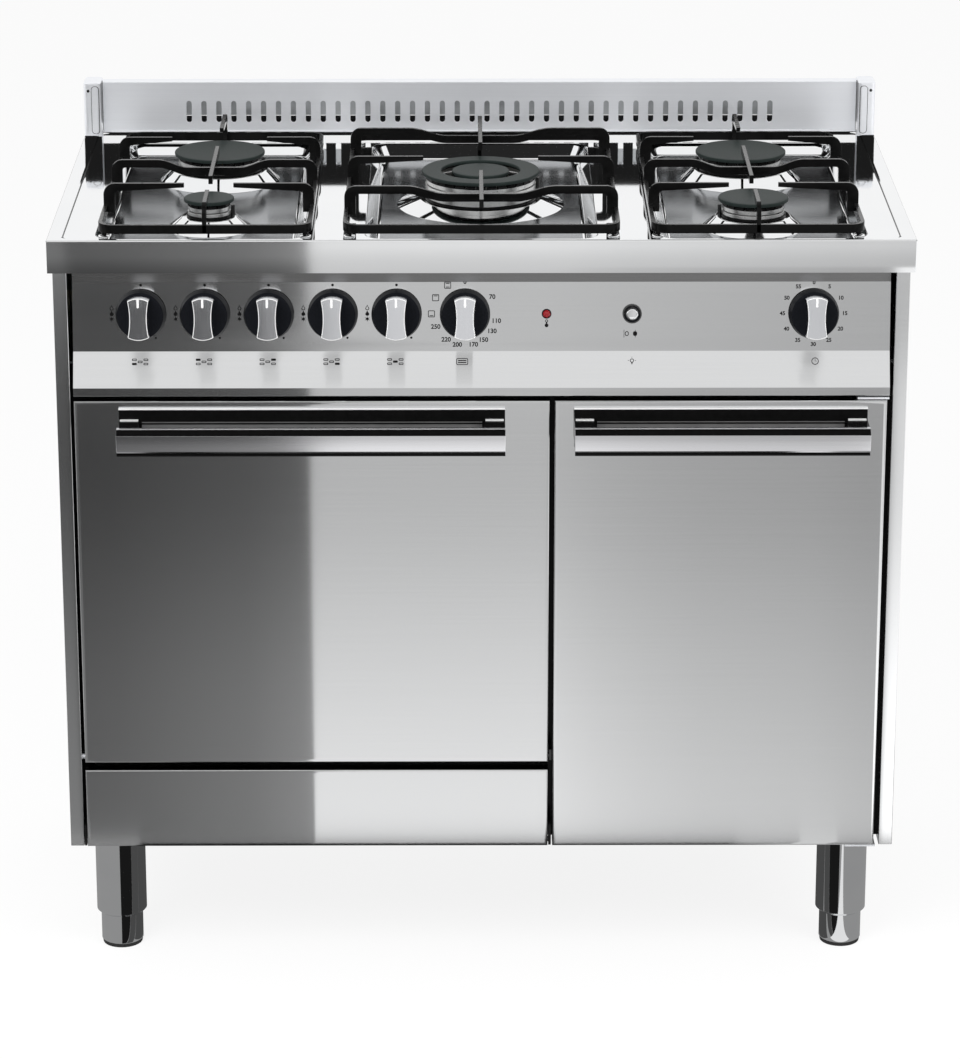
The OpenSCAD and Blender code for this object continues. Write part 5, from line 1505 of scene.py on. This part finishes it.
def makeFloor():
    size = 30
    mesh = bpy.data.meshes.new("studioFloor")
    corners = [(-size, -size, 0), (size, -size, 0), (size, size, 0), (-size, size, 0)]
    mesh.from_pydata(corners, [], [(0, 1, 2, 3)])
    floor = addObject("studioFloor", mesh)
    material, tree, surface = newSurface("paleFloor")
    matt = node(tree, "ShaderNodeBsdfDiffuse", {"Color": rgb(0.8)})
    glow = node(tree, "ShaderNodeEmission", {"Color": rgb(1), "Strength": 1.07})
    mix = mixShaders(tree, brightMix(tree, 0.8, 0.0), matt, glow)
    tree.links.new(mix.outputs[0], surface)
    mesh.materials.append(material)


toneSpec = {
    # how bright the studio looks in the steel: across is the mirrored place on the front,
    # away is how far in front it stands
    "acrossLeft": [(-0.6, 0.24), (-0.434, 0.24), (-0.43, 0.14), (-0.386, 0.155), (-0.247, 0.236),
                   (-0.194, 0.3), (-0.18, 0.34)],
    "acrossRight": [(-0.18, 1), (0.06, 1), (0.128, 0.88), (0.177, 0.82), (0.235, 0.77), (0.348, 0.72),
                    (0.4, 0.67), (0.43, 0.64), (0.434, 1.6), (0.6, 1.6)],
    "acrossFar": [(-0.18, 1), (0.06, 1), (0.198, 0.92), (0.391, 0.82), (0.45, 0.8)],
    "awayLeft": [(0.46, 1.12), (0.87, 1.0), (1.57, 0.5), (1.83, 0.4), (2.3, 0.42), (2.7, 0.75), (3.05, 0.77),
                 (3.6, 0.45)],
    "awayRight": [(0.46, 1.12), (0.87, 0.95), (1.57, 0.66), (1.83, 0.62), (2.22, 0.63), (2.6, 0.7),
                  (3.05, 0.84), (3.4, 0.8), (3.6, 0.69)],
    "edge": -0.18, "far": 2.4,
}


def rampOf(tree, socket, pairs):
    low, high = pairs[0][0], pairs[-1][0]
    top = max(v for _, v in pairs)
    span = node(tree, "ShaderNodeMapRange", {"From Min": low, "From Max": high})
    ramp = node(tree, "ShaderNodeValToRGB")
    scale = node(tree, "ShaderNodeMath", {1: top}, operation="MULTIPLY")
    stops = ramp.color_ramp.elements
    while len(stops) < len(pairs):
        stops.new(0.5)
    for stop, (at, value) in zip(stops, pairs):
        stop.position = (at - low) / (high - low)
    for stop, (at, value) in zip(stops, pairs):
        stop.color = rgb(value / top)
    tree.links.new(socket, span.inputs["Value"])
    tree.links.new(span.outputs["Result"], ramp.inputs["Fac"])
    tree.links.new(ramp.outputs["Color"], scale.inputs[0])
    return scale.outputs[0]


def mixOf(tree, factor, a, b):
    mix = node(tree, "ShaderNodeMix", data_type="FLOAT")
    tree.links.new(factor, mix.inputs[0])
    tree.links.new(a, mix.inputs[2])
    tree.links.new(b, mix.inputs[3])
    return mix.outputs[0]


def studioTone(tree):
    # the shade of a studio card, from where the cooker's front shows each point of it
    s = toneSpec
    place = node(tree, "ShaderNodeTexCoord")
    split = node(tree, "ShaderNodeSeparateXYZ")
    tree.links.new(place.outputs["Object"], split.inputs[0])
    eye, reach = cameraSpec["x"] * mm, cameraSpec["away"] * mm
    away = mathOf(tree, "SUBTRACT", frontY, split.outputs["Y"])
    shrink = mathOf(tree, "DIVIDE", reach, mathOf(tree, "ADD", away, reach))
    beside = mathOf(tree, "SUBTRACT", split.outputs["X"], eye)
    across = mathOf(tree, "ADD", mathOf(tree, "MULTIPLY", beside, shrink), eye)
    left = mathOf(tree, "MULTIPLY", rampOf(tree, across, s["acrossLeft"]), rampOf(tree, away, s["awayLeft"]))
    far = mathOf(tree, "GREATER_THAN", away, s["far"])
    profile = mixOf(tree, far, rampOf(tree, across, s["acrossRight"]), rampOf(tree, across, s["acrossFar"]))
    right = mathOf(tree, "MULTIPLY", profile, rampOf(tree, away, s["awayRight"]))
    return mixOf(tree, mathOf(tree, "GREATER_THAN", across, s["edge"]), left, right)


def makeCard(name, faces, shade, oneSided=False):
    # studio cards that only mirror rays see; a shade of None takes the studio's graded tone
    corners = [tuple(hobPlace @ Vector(c)) for face in faces for c in face]
    mesh = bpy.data.meshes.new(name)
    mesh.from_pydata(corners, [], [tuple(range(4 * k, 4 * k + 4)) for k in range(len(faces))])
    card = addObject(name, mesh)
    card.visible_camera = card.visible_diffuse = card.visible_shadow = card.visible_transmission = False
    material, tree, surface = newSurface(name)
    look = node(tree, "ShaderNodeEmission", {"Color": rgb(1), "Strength": shade or 0})
    if shade is None:
        tree.links.new(studioTone(tree), look.inputs["Strength"])
    if oneSided:
        side = node(tree, "ShaderNodeNewGeometry")
        look = mixShaders(tree, side.outputs["Backfacing"], look, node(tree, "ShaderNodeBsdfTransparent"))
    tree.links.new(look.outputs[0], surface)
    mesh.materials.append(material)


def flatCard(x0, x1, d0, d1, z):
    return [(x0, d0, z), (x1, d0, z), (x1, d1, z), (x0, d1, z)]


def uprightCard(x0, x1, d, z0, z1):
    # faces the front
    return [(x0, d, z0), (x1, d, z0), (x1, d, z1), (x0, d, z1)]


def makeSplashCard():
    # blackens the splashback's mirror image in the hob; its slots stay open, and its back lets rays through
    s = splashSpec
    d = splashD0 - 1.2
    low, high, half = s["slotUp"], s["slotUp"] + s["slotLong"], s["slotWide"] / 2
    faces = [uprightCard(splashX0, splashX1, d, 0, 3),
             uprightCard(splashX0, splashX1, d, high, s["cardHigh"])]
    edge = splashX0
    for k in range(s["slots"]):
        centre = (k - (s["slots"] - 1) / 2) * s["pitch"]
        faces.append(uprightCard(edge, centre - half, d, low, high))
        edge = centre + half
    faces.append(uprightCard(edge, splashX1, d, low, high))
    _, capX, capD, _, _, _ = boxMm("splashback_end_caps")
    for side in (-1, 1):
        a, b = sorted((side * (capX - s["capWide"]), side * capX))
        faces.append(uprightCard(a, b, capD - 1.2, 0, s["cardHigh"] - 9))
    makeCard("splashCard", faces, 0.012, oneSided=True)
    makeCard("splashFootCard", [uprightCard(splashX0, splashX1, d, 3, low)], 0.95, oneSided=True)


def makeLamp(name, place, target, size, power):
    data = bpy.data.lights.new(name, "AREA")
    data.shape = "RECTANGLE"
    data.size, data.size_y = size
    data.energy = power
    lamp = addObject(name, data)
    lamp.location = place
    lamp.rotation_euler = (Vector(target) - Vector(place)).to_track_quat("-Z", "Y").to_euler()
    lamp.visible_glossy = False
    lamp.visible_camera = False


makeCamera()
makeWorld()
makeFloor()
makeSplashCard()
cardZ = floorZ + 2
makeCard("floorCard", [flatCard(-5000, 5000, -3400, -362, cardZ)], None)
makeCard("horizonCard", [uprightCard(-6000, 6000, -3600, -720, 360)], None)
makeCard("darkAbove", [flatCard(-3000, 3000, -900, -160, 1500)], 0.02)
makeCard("greyFoot", [flatCard(-1100, 1100, -358, 560, floorZ + 1)], 0.3)
makeCard("darkFoot", [ringAt([(-398, 60), (-398, -356), (-55, -356), (-55, -171)], cardZ),
                      ringAt([(-55, -171), (-55, -356), (298, -356), (390, 50)], cardZ)], 0.01)
makeCard("duskFoot", [ringAt([(-398, 61), (-55, -170), (390, 51), (0, 61.5)], cardZ),
                      flatCard(-370, 370, 62, 470, cardZ)], 0.07)
makeCard("paleFoot", [flatCard(374, 418, -356, 56, floorZ + 3)], 0.85)
mirrorStretch = 1.035  # lines the mirrored shades up with the knobs
knobXs = [mirrorStretch * middle("knob_skirt_" + name) for name in knobNames]
for name, near, far, shade in (("knobShadeNear", -166, -130, 0.6), ("knobShadeFar", -212, -166, 0.82)):
    makeCard(name, [flatCard(x + 9, x - 9, near, far, -50) for x in knobXs], shade, oneSided=True)
makeLamp("keyLamp", (-1.2, -2.4, 2.6), (0, 0, 0.6), (1.6, 1.6), 60)
makeLamp("fillLamp", (1.8, -1.8, 2.2), (0, 0, 0.5), (1.6, 1.6), 30)
print("studio made")
